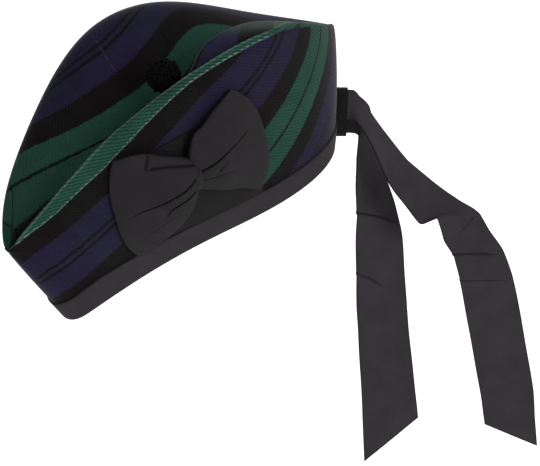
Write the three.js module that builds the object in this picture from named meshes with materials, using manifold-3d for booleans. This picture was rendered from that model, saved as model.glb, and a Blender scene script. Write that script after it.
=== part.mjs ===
// Glengarry cap: two cloth sides, a pleated crown, ribbon binding, a cockade bow, a toorie and two ribbon tails.
// Millimetres, +Z up. The wearer's front is -X and the wearer's left is -Y. The origin is the middle of the
// brim opening, where the head goes in.
import * as THREE from "three";
import { mergeVertices } from "three/addons/utils/BufferGeometryUtils.js";
import Module from "manifold-3d";

const wasm = await Module();
wasm.setup();

// Cloth, ribbon and clearances
const CLOTH = 2.4;
const RIBBON = 1.0;
const GAP = 0.3;
const NOSE_DOWN = THREE.MathUtils.degToRad(18);

// Cap form
const WALL_BULGE = 5.5;
const FULL_WIDTH = 36;
const ROLL_DROP = 8;
const ROLL_RISE = 4;
const ROLL_LEAN = 1.5;
const SLOPE_TUCK = { inset: 9, drop: 5, puff: 0.8 };
const SHOULDER_DROP = 3;
const SHOULDER_INSET = 8;
const PLEAT = { rise: 15, from: 4.15, full: 4.5, end: 6, outer: [4.3, 5.1], inner: [5.6, 7] };
const DOME_OVERHANG = 7;
const DOME_DROP = 31;
const STATION_STEPS = 36;
const WALL_STEPS = 7;
const CROWN_STEPS = 14;
const RIDGE_COLUMN = 4;
const DOME_COLUMN = 10.3;
const STEEPEST_CROWN = 2.2;
const ROOF_REACH = 3.5;
const SEAM_REACH = 1.2;
const SEAM_STATION = 0.018;

// Binding
const BAND = 18;

// Bow, in its own frame on the left side: a runs rearward, b runs up, h stands off the wall
const BOW_STATION = 3.83;
const BOW_COLUMN = 1.46;
const BOW_BACK = { reach: 57, low: -42, slant: -0.1, high: 37 };
const BOW_WAIST = 9.5;
const BOW_PUFF = { rise: 9, lean: 0.8, fullness: 0.7, fall: 0.35 };
const BOW_PLEATS = { count: 3, deep: 1.3, start: 6 };
const BOW_KNOT = { half: 6.5, tall: 10, lift: 2.5, rise: 10 };
const LOOP_START = 7.2;
const LOOP_REST = 2 * (GAP + RIBBON) + 0.4;
const END_BULGE = 11;

// One row for each loop: the way that it points, its two outer corners, and how fast each edge leaves the knot,
// where 1 is a straight edge and less is a steeper start
const LOOP_COLUMNS = ["side", "upperA", "upperB", "upperBend", "lowerA", "lowerB", "lowerBend"];
const LOOP_FRONT = [-1, 58, 44, 0.4, 53, -39, 0.4];
const LOOP_REAR = [1, 48, 47, 0.4, 61, -44, 0.8];

// Toorie
const TOORIE = { x: 0, y: -13, head: 10, lock: 3.9, stretch: 1.2, locks: 26 };
const SEAT_STEPS = 240;

// Tails: their root is at the rear of the band, and their frame is turned to the way that they face
const TAIL_ROOT = new THREE.Vector3(130, 0, 78);
const TAIL_TURN = THREE.MathUtils.degToRad(-36);
const TAIL_SPLITS = 2;
const TAIL_STEPS = 2;
const KEEPER = { from: 7, to: 15, deep: 3.8, low: -22, high: 16.5, wall: 1.2, round: 3.4, steps: 24 };

// One row for each section of the cap, from the front seam to the rear seam. The ridge, valley and dome columns
// are distances from the middle plane: the ridge is on the left, the dome on the right.
const CAP_COLUMNS = ["brimX", "brimZ", "brimLeft", "brimRight", "topX", "ridge", "ridgeZ",
  "valley", "valleyZ", "dome", "domeZ", "puff"];
const CAP_ROWS = [
  [-118, -4, 0, 0, -150, 0, 60, 0, 61, 0, 62, 0],
  [-114, -4, 9, 9, -142, 9, 75, -2, 71, 11, 75, 0],
  [-101, 1, 15, 20, -117, 21, 95, -4, 82, 38, 91, 0],
  [-53, 4.5, 17, 34, -59, 37, 120, -7, 95, 61, 126, 0],
  [0, 3.5, 19, 42, 0, 46, 134, -9, 104, 71, 160, 2],
  [55, -0.5, 24, 43, 64, 47, 136, -9, 106, 67, 155, 16],
  [104, 2, 26, 38, 120, 38, 117, -7, 101, 47, 119, 11],
  [135, 10, 19, 22, 158, 18, 98, -2, 95, 25, 98, 3],
  [144, 16, 0, 0, 172, 0, 91, 0, 91, 0, 91, 0],
];

// One row for each section of a tail, from the band to the cut end. Each edge has its place along, its height
// and how far it stands toward the side that the tails face.
const TAIL_COLUMNS = ["alongA", "heightA", "towardA", "alongB", "heightB", "towardB"];
const TAIL_LEFT_ROWS = [
  [0, -20, -3, 0, 14, -3],
  [19, -20, -3, 19, 12, -3],
  [25, -22, -1, 34, -2, -16],
  [24, -38, 2, 42, -30, -24],
  [24, -52, 3, 48, -54, -26],
  [25, -76, 2, 58, -79, -18],
  [26, -98, 0, 63, -100, -12],
  [27, -125, 0, 66, -127, -9],
  [29, -158, 0, 69, -159, -6],
  [32, -190, 0, 73, -191, -3],
  [38, -244, 0, 79, -243, 0],
  [40, -283, 0, 81, -244, 0],
];
const TAIL_RIGHT_ROWS = [
  [4.2, -14, 3, 4.2, 14, 3],
  [16, -9, 3, 19.5, 14, 3],
  [22, -9, 8, 27, 5, 0],
  [30, -20, 15, 40, -13, -6],
  [37, -34, 19, 52, -28, -6],
  [44, -49, 21, 64, -42, -6],
  [53, -62, 22, 77, -53, -7],
  [71, -84, 20, 104, -72, -3],
  [84, -80, 18, 120, -82, -2],
  [91, -99, 16, 129, -95, 1],
  [99, -111, 14, 139, -109, 4],
  [104, -126, 12, 147, -128, 6],
  [110, -148, 8, 152, -146, 8],
  [127, -222, 8, 169, -220, 8],
  [132, -248, 8, 174, -247, 8],
  [133, -250, 8, 175, -268, 8],
];

// Materials
const TARTAN = { color: 0x17352c, roughness: 0.95, metalness: 0 };
const RIBBON_BLACK = { color: 0x2b292b, roughness: 0.8, metalness: 0 };
const WOOL_BLACK = { color: 0x0e0d0d, roughness: 1, metalness: 0 };

const vec = (x, y, z) => new THREE.Vector3(x, y, z);
const mix = THREE.MathUtils.lerp;
const named = (columns, row) => Object.fromEntries(columns.map((name, i) => [name, row[i]]));
const steps = (count) => Array.from({ length: count + 1 }, (_, i) => i / count);

// Closed solids from grids of points

function solidFrom(points, triangles) {
  // Merges shared points, drops flat triangles and turns the faces outward.
  const raw = new THREE.BufferGeometry();
  raw.setAttribute("position", new THREE.Float32BufferAttribute(points.flatMap((p) => p.toArray()), 3));
  raw.setIndex(triangles.flat());
  const merged = mergeVertices(raw, 1e-3);
  const index = merged.getIndex().array;
  const kept = [];
  for (let i = 0; i < index.length; i += 3) {
    const [a, b, c] = index.slice(i, i + 3);
    if (a !== b && b !== c && c !== a) kept.push([a, b, c]);
  }
  const place = merged.getAttribute("position");
  const at = (i) => new THREE.Vector3().fromBufferAttribute(place, i);
  const volume = kept.reduce((sum, [a, b, c]) => sum + at(a).dot(at(b).cross(at(c))) / 6, 0);
  merged.setIndex(kept.flatMap(([a, b, c]) => (volume > 0 ? [a, b, c] : [a, c, b])));
  return merged;
}

function slab(top, under) {
  // A sheet with a top grid and an under grid of the same size, closed along its four edges.
  const rows = top.length;
  const cols = top[0].length;
  const points = [...top.flat(), ...under.flat()];
  const at = (layer, i, j) => layer * rows * cols + i * cols + j;
  const triangles = [];
  const quad = (a, b, c, d) => triangles.push([a, b, c], [a, c, d]);
  for (let i = 0; i + 1 < rows; i += 1) {
    for (let j = 0; j + 1 < cols; j += 1) {
      quad(at(0, i, j), at(0, i + 1, j), at(0, i + 1, j + 1), at(0, i, j + 1));
      quad(at(1, i, j), at(1, i, j + 1), at(1, i + 1, j + 1), at(1, i + 1, j));
    }
    quad(at(0, i, 0), at(1, i, 0), at(1, i + 1, 0), at(0, i + 1, 0));
    quad(at(0, i, cols - 1), at(0, i + 1, cols - 1), at(1, i + 1, cols - 1), at(1, i, cols - 1));
  }
  for (let j = 0; j + 1 < cols; j += 1) {
    quad(at(0, 0, j), at(0, 0, j + 1), at(1, 0, j + 1), at(1, 0, j));
    quad(at(0, rows - 1, j), at(1, rows - 1, j), at(1, rows - 1, j + 1), at(0, rows - 1, j + 1));
  }
  return solidFrom(points, triangles);
}

function ring(sections) {
  // A closed loop of closed sections, each with the same number of points.
  const cols = sections[0].length;
  const triangles = [];
  sections.forEach((_, i) => {
    const next = (i + 1) % sections.length;
    for (let j = 0; j < cols; j += 1) {
      const other = (j + 1) % cols;
      const corners = [i * cols + j, next * cols + j, next * cols + other, i * cols + other];
      triangles.push([corners[0], corners[1], corners[2]], [corners[0], corners[2], corners[3]]);
    }
  });
  return solidFrom(sections.flat(), triangles);
}

function thickened(middle, thickness) {
  // Offsets a grid of points to both sides by half the thickness, along the grid's own normals.
  const last = (list, i) => list[Math.min(Math.max(i, 0), list.length - 1)];
  const normal = (i, j) => {
    const along = last(middle, i + 1)[j].clone().sub(last(middle, i - 1)[j]);
    const across = last(middle[i], j + 1).clone().sub(last(middle[i], j - 1));
    return along.cross(across).normalize();
  };
  const offset = (side) => middle.map((row, i) => row.map((p, j) =>
    p.clone().addScaledVector(normal(i, j), (side * thickness) / 2)));
  return slab(offset(1), offset(-1));
}

// The cap's outer surface: a cubic B-spline over the sections' control points

function sectionPolygon(row) {
  // Control points of one section, up the left wall, over the crown and down the right wall.
  const wide = Math.min(1, (row.ridge + row.dome) / FULL_WIDTH);
  const at = (y, z) => {
    const lift = THREE.MathUtils.clamp((z - row.brimZ) / (row.ridgeZ - row.brimZ), 0, 1);
    return vec(mix(row.brimX, row.topX, lift), y, z);
  };
  const wall = (side, foot, head, headZ, k) => at(
    side * (mix(foot, head, k) + WALL_BULGE * wide * 4 * k * (1 - k)), mix(row.brimZ, headZ, k));
  const rise = row.domeZ - row.valleyZ;
  const reach = row.dome - row.valley;
  const eaves = row.dome + DOME_OVERHANG * wide;
  const eavesZ = row.domeZ - DOME_DROP * wide;
  return [
    at(-row.brimLeft, row.brimZ),
    wall(-1, row.brimLeft, row.ridge, row.ridgeZ, 0.3),
    wall(-1, row.brimLeft, row.ridge, row.ridgeZ, 0.65),
    at(-row.ridge - ROLL_LEAN * wide, row.ridgeZ - ROLL_DROP * wide),
    at(-row.ridge + ROLL_LEAN * wide, row.ridgeZ + ROLL_RISE * wide),
    at(-row.ridge + SHOULDER_INSET * wide, row.ridgeZ - SHOULDER_DROP * wide + row.puff),
    at(
      (row.valley - row.ridge + SLOPE_TUCK.inset * wide) / 2,
      (row.ridgeZ + row.valleyZ) / 2 + SLOPE_TUCK.puff * row.puff - SLOPE_TUCK.drop * wide),
    at(row.valley, row.valleyZ),
    at(row.valley + 0.36 * reach, row.valleyZ + 0.45 * rise),
    at(row.valley + 0.72 * reach, row.valleyZ + 0.92 * rise),
    at(row.dome, row.domeZ + 2 * wide),
    at(eaves, eavesZ),
    wall(1, row.brimRight, eaves, eavesZ, 0.62),
    wall(1, row.brimRight, eaves, eavesZ, 0.3),
    at(row.brimRight, row.brimZ),
  ];
}

const mirrored = (p) => vec(p.x, -p.y, p.z);
const beyond = (edge, inner) => edge.clone().multiplyScalar(2).sub(inner);

function controlNet() {
  // The seams at the front and rear are rounded by a mirrored section past each end.
  const sections = CAP_ROWS.map((row) => sectionPolygon(named(CAP_COLUMNS, row)));
  const padded = [sections[1].map(mirrored), ...sections, sections.at(-2).map(mirrored)];
  return padded.map((s) => [beyond(s[0], s[1]), ...s, beyond(s.at(-1), s.at(-2))]);
}

const NET = controlNet();
const LAST_STATION = CAP_ROWS.length - 1;
const LAST_COLUMN = NET[0].length - 3;

function splineWeights(f) {
  return [(1 - f) ** 3, 3 * f ** 3 - 6 * f ** 2 + 4, -3 * f ** 3 + 3 * f ** 2 + 3 * f + 1, f ** 3].map((w) => w / 6);
}

function pleatRise(station, column) {
  // The crown's near half stands up behind the toorie: steep at its front, and running out toward the rear.
  const smooth = THREE.MathUtils.smoothstep;
  const along = smooth(station, PLEAT.from, PLEAT.full) * (1 - smooth(station, PLEAT.full, PLEAT.end));
  const across = smooth(column, ...PLEAT.outer) * (1 - smooth(column, ...PLEAT.inner));
  return PLEAT.rise * along * across;
}

function capPoint(station, column) {
  const i = Math.min(Math.floor(station), LAST_STATION - 1);
  const j = Math.min(Math.floor(column), LAST_COLUMN - 1);
  const byStation = splineWeights(station - i);
  const byColumn = splineWeights(column - j);
  const sum = vec(0, 0, pleatRise(station, column));
  byStation.forEach((w, a) => byColumn.forEach((v, b) => sum.addScaledVector(NET[i + a][j + b], w * v)));
  return sum;
}

function capNormal(station, column) {
  // Outward normal, by differences over a small step.
  const step = 0.02;
  const along = capPoint(Math.min(station + step, LAST_STATION), column);
  along.sub(capPoint(Math.max(station - step, 0), column));
  const across = capPoint(station, Math.min(column + step, LAST_COLUMN));
  across.sub(capPoint(station, Math.max(column - step, 0)));
  return along.cross(across).normalize();
}

// Crown

function crownThickness(station, column) {
  const upright = Math.max(capNormal(station, column).z, 1 / STEEPEST_CROWN);
  return CLOTH / upright;
}

function crownGrids() {
  // The crown's two ends draw in to a point at each seam.
  const top = steps(STATION_STEPS).map((t) => steps(CROWN_STEPS).map((q) => {
    const tip = t === 0 || t === 1;
    return capPoint(t * LAST_STATION, tip ? mix(RIDGE_COLUMN, DOME_COLUMN, 0.5) : mix(RIDGE_COLUMN, DOME_COLUMN, q));
  }));
  const under = top.map((row, i) => row.map((p, j) => {
    const tip = i === 0 || i === STATION_STEPS;
    const column = mix(RIDGE_COLUMN, DOME_COLUMN, j / CROWN_STEPS);
    const station = (i / STATION_STEPS) * LAST_STATION;
    return p.clone().setZ(p.z - (tip ? CLOTH : crownThickness(station, column)));
  }));
  return { top, under };
}

const CROWN = crownGrids();
const CROWN_UNDERSIDE = CROWN.under.flat();

function underRoof(p, reach) {
  // Lowers a point to stay clear of the crown's underside anywhere within reach of it.
  const near = CROWN_UNDERSIDE.filter((q) => Math.hypot(q.x - p.x, q.y - p.y) < reach);
  return p.setZ(Math.min(p.z, ...near.map((q) => q.z - GAP)));
}

// Sides

function wallPoint(side, station, k) {
  // k runs from the brim (0) to the ridge or the dome (1), just under the crown's edge.
  const head = side < 0 ? RIDGE_COLUMN : DOME_COLUMN;
  const foot = side < 0 ? 0 : LAST_COLUMN;
  const column = mix(foot, head, k);
  const p = capPoint(station, column);
  const under = (crownThickness(station, head) + GAP) * k ** 3;
  return { outer: p.setZ(p.z - under), normal: capNormal(station, column) };
}

function sidePanel(side) {
  const outer = [];
  const inner = [];
  for (const t of steps(STATION_STEPS)) {
    const station = mix(SEAM_STATION, LAST_STATION - SEAM_STATION / 2, t);
    const points = steps(WALL_STEPS).map((k) => wallPoint(side, station, k));
    outer.push(points.map((p) => p.outer));
    inner.push(points.map((p) => p.outer.clone().addScaledVector(p.normal, -CLOTH)));
    const eaves = underRoof(outer.at(-1).at(-1), SEAM_REACH);
    const lining = underRoof(inner.at(-1).at(-1), ROOF_REACH);
    lining.setZ(Math.min(lining.z, eaves.z));
  }
  return slab(outer, inner);
}

// Binding

function bandColumn(side, station) {
  // How far up the wall, as a share of its height, the ribbon reaches.
  const foot = wallPoint(side, station, 0).outer;
  let k = 0;
  while (wallPoint(side, station, k).outer.distanceTo(foot) < BAND) k += 0.004;
  return k;
}

function bindingSection(side, station) {
  // A U of ribbon around the wall's lower edge: outer face, inner face, then back along the inside of the fold.
  const reach = bandColumn(side, station);
  const heights = [reach, reach / 2, 0];
  const wall = heights.map((k) => wallPoint(side, station, k));
  const down = wall[2].outer.clone().sub(wall[1].outer).normalize();
  const leaf = (i, off, drop) => wall[i].outer.clone().addScaledVector(wall[i].normal, off)
    .addScaledVector(down, i === 2 ? drop : 0);
  const near = GAP;
  const far = GAP + RIBBON;
  return [
    ...[0, 1, 2].map((i) => leaf(i, far, far)),
    ...[2, 1, 0].map((i) => leaf(i, -CLOTH - far, far)),
    ...[0, 1, 2].map((i) => leaf(i, -CLOTH - near, near)),
    ...[2, 1, 0].map((i) => leaf(i, near, near)),
  ];
}

function bindingRing() {
  const sections = [];
  for (let i = 0; i <= STATION_STEPS; i += 1) {
    sections.push(bindingSection(-1, (i / STATION_STEPS) * LAST_STATION));
  }
  for (let i = STATION_STEPS - 1; i > 0; i -= 1) {
    sections.push(bindingSection(1, (i / STATION_STEPS) * LAST_STATION));
  }
  return ring(sections);
}

// Bow

const BOW_CENTRE = capPoint(BOW_STATION, BOW_COLUMN);
const BOW_OUT = capNormal(BOW_STATION, BOW_COLUMN);
const BOW_ALONG = capPoint(BOW_STATION + 0.1, BOW_COLUMN).sub(capPoint(BOW_STATION - 0.1, BOW_COLUMN)).normalize();
const BOW_UP = BOW_OUT.clone().cross(BOW_ALONG).normalize();

function onWall(a, b) {
  // The wall point under a place in the bow's frame, by Newton steps on station and column.
  let station = BOW_STATION;
  let column = BOW_COLUMN;
  const offset = (s, c) => {
    const d = capPoint(s, c).sub(BOW_CENTRE);
    return [d.dot(BOW_ALONG) - a, d.dot(BOW_UP) - b];
  };
  const step = 0.01;
  for (let i = 0; i < 8; i += 1) {
    const [u, v] = offset(station, column);
    const [us, vs] = offset(station + step, column).map((w, k) => (w - [u, v][k]) / step);
    const [uc, vc] = offset(station, column + step).map((w, k) => (w - [u, v][k]) / step);
    const det = us * vc - uc * vs;
    station -= (u * vc - v * uc) / det;
    column -= (v * us - u * vs) / det;
  }
  return capPoint(station, column);
}

const bowPoint = (a, b, h) => onWall(a, b).addScaledVector(BOW_OUT, h);

function bowBack() {
  // Its lower edge slants with the binding below it.
  const grid = (h) => steps(14).map((u) => steps(8).map((v) => {
    const a = mix(-BOW_BACK.reach, BOW_BACK.reach, u);
    return bowPoint(a, mix(BOW_BACK.low + BOW_BACK.slant * a, BOW_BACK.high, v), h);
  }));
  return slab(grid(GAP + RIBBON), grid(GAP));
}

function loopHeight(k, v) {
  // Puffed between the knot and the end fold, with pleats that die away from the knot.
  const arch = Math.sin(Math.PI * k ** BOW_PUFF.lean) ** BOW_PUFF.fullness;
  const puff = BOW_PUFF.rise * arch * (1 - BOW_PUFF.fall * v * v);
  const wave = Math.cos(BOW_PLEATS.count * Math.PI * v) * Math.min(1, BOW_PLEATS.start * k);
  return LOOP_REST + puff + BOW_PLEATS.deep * (1 - k) * (1 + wave);
}

function bowLoop(row) {
  const loop = named(LOOP_COLUMNS, row);
  const leaf = (lower) => steps(14).map((k) => steps(12).map((u) => {
    const v = 2 * u - 1;
    const end = mix(loop.lowerA, loop.upperA, u) + END_BULGE * (1 - v * v);
    const high = mix(BOW_WAIST, loop.upperB, k ** loop.upperBend);
    const low = mix(-BOW_WAIST, loop.lowerB, k ** loop.lowerBend);
    return bowPoint(loop.side * mix(LOOP_START, end, k), mix(low, high, u), loopHeight(k, v) - lower);
  }));
  return slab(leaf(0), leaf(RIBBON));
}

function bowKnot() {
  // A small pillow with blunt edges.
  const grid = (height) => steps(8).map((u) => steps(10).map((v) => {
    const a = 2 * u - 1;
    const b = 2 * v - 1;
    return bowPoint(BOW_KNOT.half * a, BOW_KNOT.tall * b, height(a, b));
  }));
  const pillow = (a, b) => LOOP_REST + BOW_KNOT.lift + BOW_KNOT.rise * Math.sqrt((1 - a * a) * (1 - b ** 4));
  return slab(grid(pillow), grid(() => GAP + RIBBON + GAP));
}

// Toorie: locks of wool fused to a round head

function manifoldOf(geometry) {
  const bare = geometry.clone();
  bare.deleteAttribute("normal");
  bare.deleteAttribute("uv");
  const merged = mergeVertices(bare, 1e-4);
  const vertProperties = Float32Array.from(merged.getAttribute("position").array);
  const triVerts = Uint32Array.from(merged.getIndex().array);
  return new wasm.Manifold(new wasm.Mesh({ numProp: 3, vertProperties, triVerts }));
}

function toorieForm() {
  let form = manifoldOf(new THREE.SphereGeometry(TOORIE.head, 14, 10));
  const turn = Math.PI * (3 - Math.sqrt(5));
  for (let i = 0; i < TOORIE.locks; i += 1) {
    const z = 1 - (2 * i + 1) / TOORIE.locks;
    const flat = Math.sqrt(1 - z * z);
    const way = vec(flat * Math.cos(i * turn), flat * Math.sin(i * turn), z);
    const lock = new THREE.SphereGeometry(TOORIE.lock, 6, 4);
    lock.scale(1, TOORIE.stretch, 1);
    lock.applyQuaternion(new THREE.Quaternion().setFromUnitVectors(vec(0, 1, 0), way));
    lock.translate(...way.multiplyScalar(TOORIE.head).toArray());
    form = form.add(manifoldOf(lock));
  }
  const mesh = form.getMesh();
  const points = [];
  for (let i = 0; i < mesh.vertProperties.length; i += mesh.numProp) {
    points.push(vec(...mesh.vertProperties.slice(i, i + 3)));
  }
  const triangles = [];
  for (let i = 0; i < mesh.triVerts.length; i += 3) triangles.push([...mesh.triVerts.slice(i, i + 3)]);
  return solidFrom(points, triangles);
}

function toorieSeat(form) {
  // How high the pompom's middle stands for its lowest locks to sit just clear of the crown.
  const seats = [];
  for (const station of steps(SEAT_STEPS)) {
    for (const q of steps(SEAT_STEPS)) {
      const p = capPoint(station * LAST_STATION, mix(RIDGE_COLUMN, DOME_COLUMN, q));
      if (Math.hypot(p.x - TOORIE.x, p.y - TOORIE.y) < 2 * TOORIE.head) seats.push(p);
    }
  }
  const place = form.getAttribute("position");
  let lift = -Infinity;
  for (let i = 0; i < place.count; i += 1) {
    const p = new THREE.Vector3().fromBufferAttribute(place, i);
    const under = seats.filter((q) => Math.hypot(q.x - TOORIE.x - p.x, q.y - TOORIE.y - p.y) < SEAM_REACH);
    if (p.z < 0) lift = Math.max(lift, ...under.map((q) => q.z - p.z));
  }
  return lift + GAP;
}

// Tails

function tailGrid(rows) {
  // Straight rulings between the two edges, with a few rows set between those of the table.
  const edges = rows.map((row) => named(TAIL_COLUMNS, row));
  const grid = [];
  edges.slice(0, -1).forEach((row, i) => {
    const next = edges[i + 1];
    for (let k = 0; k < TAIL_STEPS; k += 1) grid.push(tailRow(row, next, k / TAIL_STEPS));
  });
  grid.push(tailRow(edges.at(-1), edges.at(-1), 0));
  return grid;
}

function tailRow(row, next, k) {
  const at = (name) => mix(row[name], next[name], k);
  const a = vec(at("alongA"), -at("towardA"), at("heightA"));
  const b = vec(at("alongB"), -at("towardB"), at("heightB"));
  return steps(TAIL_SPLITS).map((v) => a.clone().lerp(b, v));
}

function keeperRing() {
  // A flat ring of ribbon around both tails where they leave the band: a rounded oblong, stepped by angle.
  const section = (angle) => {
    const side = Math.sign(Math.cos(angle));
    const end = Math.sin(angle) > 0 ? KEEPER.high - KEEPER.round : KEEPER.low + KEEPER.round;
    const at = (along, grow) => vec(
      along,
      side * (KEEPER.deep - KEEPER.round) + (KEEPER.round + grow) * Math.cos(angle),
      end + (KEEPER.round + grow) * Math.sin(angle));
    return [at(KEEPER.from, 0), at(KEEPER.from, KEEPER.wall), at(KEEPER.to, KEEPER.wall), at(KEEPER.to, 0)];
  };
  const count = KEEPER.steps;
  const angles = Array.from({ length: count }, (_, i) => ((i + 0.5) / count) * 2 * Math.PI);
  return ring(angles.map(section));
}

// Assembly

function piece(name, geometry, finish) {
  const mesh = new THREE.Mesh(geometry, new THREE.MeshStandardMaterial(finish));
  mesh.name = name;
  return mesh;
}

const cap = new THREE.Group();
cap.rotation.y = -NOSE_DOWN;
cap.add(piece("side_left", sidePanel(-1), TARTAN));
cap.add(piece("side_right", sidePanel(1), TARTAN));
cap.add(piece("crown", slab(CROWN.top, CROWN.under), TARTAN));
cap.add(piece("edge_binding", bindingRing(), RIBBON_BLACK));
cap.add(piece("bow_back", bowBack(), RIBBON_BLACK));
cap.add(piece("bow_loop_front", bowLoop(LOOP_FRONT), RIBBON_BLACK));
cap.add(piece("bow_loop_rear", bowLoop(LOOP_REAR), RIBBON_BLACK));
cap.add(piece("bow_knot", bowKnot(), RIBBON_BLACK));

const toorieGeometry = toorieForm();
const toorie = piece("toorie", toorieGeometry, WOOL_BLACK);
toorie.position.set(TOORIE.x, TOORIE.y, toorieSeat(toorieGeometry));
cap.add(toorie);

const tails = new THREE.Group();
tails.position.copy(TAIL_ROOT);
tails.rotation.z = TAIL_TURN;
tails.add(piece("tail_knot", keeperRing(), RIBBON_BLACK));
tails.add(piece("tail_left", thickened(tailGrid(TAIL_LEFT_ROWS), RIBBON), RIBBON_BLACK));
tails.add(piece("tail_right", thickened(tailGrid(TAIL_RIGHT_ROWS), RIBBON), RIBBON_BLACK));

const glengarry = new THREE.Group();
glengarry.add(cap, tails);

export default glengarry;
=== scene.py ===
# %% [markdown]
# A glengarry is a boat-shaped cap of tartan cloth. Its two sides rise from a ribbon-bound brim, its top
# is folded down into a long valley, a bow is sewn to the wearer's left, and two ribbon tails hang at the
# rear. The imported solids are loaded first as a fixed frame. Every piece below is built in that frame, in
# metres, and replaces the plain solid of the same name.

# %% Load the frame
import math

import bpy
import numpy as np
from mathutils import Matrix, Vector


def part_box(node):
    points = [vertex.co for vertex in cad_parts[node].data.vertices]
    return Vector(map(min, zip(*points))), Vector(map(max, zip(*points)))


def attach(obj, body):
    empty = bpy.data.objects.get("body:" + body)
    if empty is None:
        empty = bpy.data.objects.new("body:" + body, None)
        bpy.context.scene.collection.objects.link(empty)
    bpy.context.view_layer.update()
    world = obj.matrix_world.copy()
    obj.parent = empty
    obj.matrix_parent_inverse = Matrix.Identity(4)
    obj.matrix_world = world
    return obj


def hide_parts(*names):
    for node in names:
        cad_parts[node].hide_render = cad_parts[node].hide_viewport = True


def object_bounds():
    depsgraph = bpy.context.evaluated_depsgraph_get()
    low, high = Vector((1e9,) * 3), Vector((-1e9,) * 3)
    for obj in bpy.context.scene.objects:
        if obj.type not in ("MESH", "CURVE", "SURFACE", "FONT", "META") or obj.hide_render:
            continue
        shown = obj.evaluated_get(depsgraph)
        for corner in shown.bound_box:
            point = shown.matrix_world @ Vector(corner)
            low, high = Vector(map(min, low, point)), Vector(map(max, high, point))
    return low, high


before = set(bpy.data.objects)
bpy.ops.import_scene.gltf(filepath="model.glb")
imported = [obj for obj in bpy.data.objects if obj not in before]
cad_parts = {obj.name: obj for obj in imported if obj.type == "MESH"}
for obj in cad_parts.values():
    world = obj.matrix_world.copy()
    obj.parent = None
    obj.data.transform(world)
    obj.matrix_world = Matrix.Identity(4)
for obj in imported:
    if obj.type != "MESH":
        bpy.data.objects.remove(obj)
CAD_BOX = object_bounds()
print("frame nodes:", sorted(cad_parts))

# %% [markdown]
# The photograph was taken from the front left and a little above, with a long lens. A camera could be
# placed by eye, but here its place, turn and lens come from fitting the cap's outline, so a piece can be
# compared with the photograph at the same pixel.

# %% Camera
CAMERA_PLACE = (-0.9785, -1.1663, 0.4333)
CAMERA_AZIMUTH = math.radians(-42.14)
CAMERA_ELEVATION = math.radians(15.76)
CAMERA_ROLL = math.radians(1.77)
CAMERA_LENS_MM = 146.9


def camera_axes(azimuth, elevation, roll):
    """Back from the two angles, right level with the floor and up across both, then right and up turned
    by the roll."""
    flat = math.cos(elevation)
    back = Vector((math.sin(azimuth) * flat, -math.cos(azimuth) * flat, math.sin(elevation)))
    level = Vector((math.cos(azimuth), math.sin(azimuth), 0))
    upright = back.cross(level)
    right = level * math.cos(roll) + upright * math.sin(roll)
    return right, back.cross(right), back


camera = bpy.data.objects.new("camera", bpy.data.cameras.new("camera"))
bpy.context.collection.objects.link(camera)
right_way, up_way, back_way = camera_axes(CAMERA_AZIMUTH, CAMERA_ELEVATION, CAMERA_ROLL)
camera_turn = Matrix((right_way, up_way, back_way)).transposed().to_4x4()
camera.matrix_world = Matrix.Translation(CAMERA_PLACE) @ camera_turn
camera.data.lens = CAMERA_LENS_MM
bpy.context.scene.camera = camera
print("camera", tuple(round(x, 3) for x in camera.location))

# %% [markdown]
# All the cloth is thin sheet with two faces. One helper closes a top grid and an under grid of points
# into a solid sheet, and keeps two numbers at each point, the thread lengths along and across the cloth,
# as a UV map.

# %% Sheets from grids of points
MM = 0.001
SHARP = math.radians(50)


def quads(*corners):
    """Faces from four grids of point numbers, one for each corner."""
    return np.stack(corners, axis=-1).reshape(-1, 4)


def sheet_faces(rows, cols):
    """Quads of the top grid, of the under grid turned over, and of the four closing edges."""
    number = np.arange(rows * cols).reshape(rows, cols)
    under = number + rows * cols
    top = quads(number[:-1, :-1], number[1:, :-1], number[1:, 1:], number[:-1, 1:])
    bottom = quads(under[:-1, :-1], under[:-1, 1:], under[1:, 1:], under[1:, :-1])
    border = np.concatenate([number[0, :-1], number[:-1, -1], number[-1, :0:-1], number[:0:-1, 0]])
    following = np.roll(border, -1)
    rim = quads(border, following, following + rows * cols, border + rows * cols)
    return np.concatenate([top, bottom, rim])


def new_piece(name, points, faces, threads=None, **numbers):
    """A smooth-shaded mesh object from points in metres and quads, with the thread lengths in mm as its
    UV map and each further grid of numbers, such as the distance from an edge in mm, as an attribute of
    that name."""
    mesh = bpy.data.meshes.new(name)
    mesh.from_pydata(points.reshape(-1, 3), [], faces)
    if threads is not None:
        layer = mesh.uv_layers.new(name="threads")
        corner = np.empty(len(mesh.loops), dtype=np.int32)
        mesh.loops.foreach_get("vertex_index", corner)
        layer.uv.foreach_set("vector", threads.reshape(-1, 2)[corner].astype(np.float32).ravel())
    for key, values in numbers.items():
        attribute = mesh.attributes.new(key, "FLOAT", "POINT")
        attribute.data.foreach_set("value", values.astype(np.float32).ravel())
    mesh.shade_smooth()
    mesh.set_sharp_from_angle(angle=SHARP)
    mesh.validate()
    piece = bpy.data.objects.new(name, mesh)
    bpy.context.collection.objects.link(piece)
    return piece


def cloth_sheet(name, top, under, threads, **numbers):
    """A closed sheet between two grids of points in metres, with the same numbers on both faces."""
    rows, cols = top.shape[:2]
    points = np.concatenate([top.reshape(-1, 3), under.reshape(-1, 3)])
    both = np.concatenate([threads.reshape(-1, 2), threads.reshape(-1, 2)])
    numbers = {key: np.concatenate([values.ravel(), values.ravel()]) for key, values in numbers.items()}
    piece = new_piece(name, points, sheet_faces(rows, cols), both, **numbers)
    print(name, "has", 2 * len(piece.data.polygons), "triangles")
    return piece


def unit(v):
    """Vectors scaled to length one."""
    return v / np.maximum(np.linalg.norm(v, axis=-1, keepdims=True), 1e-9)


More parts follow.
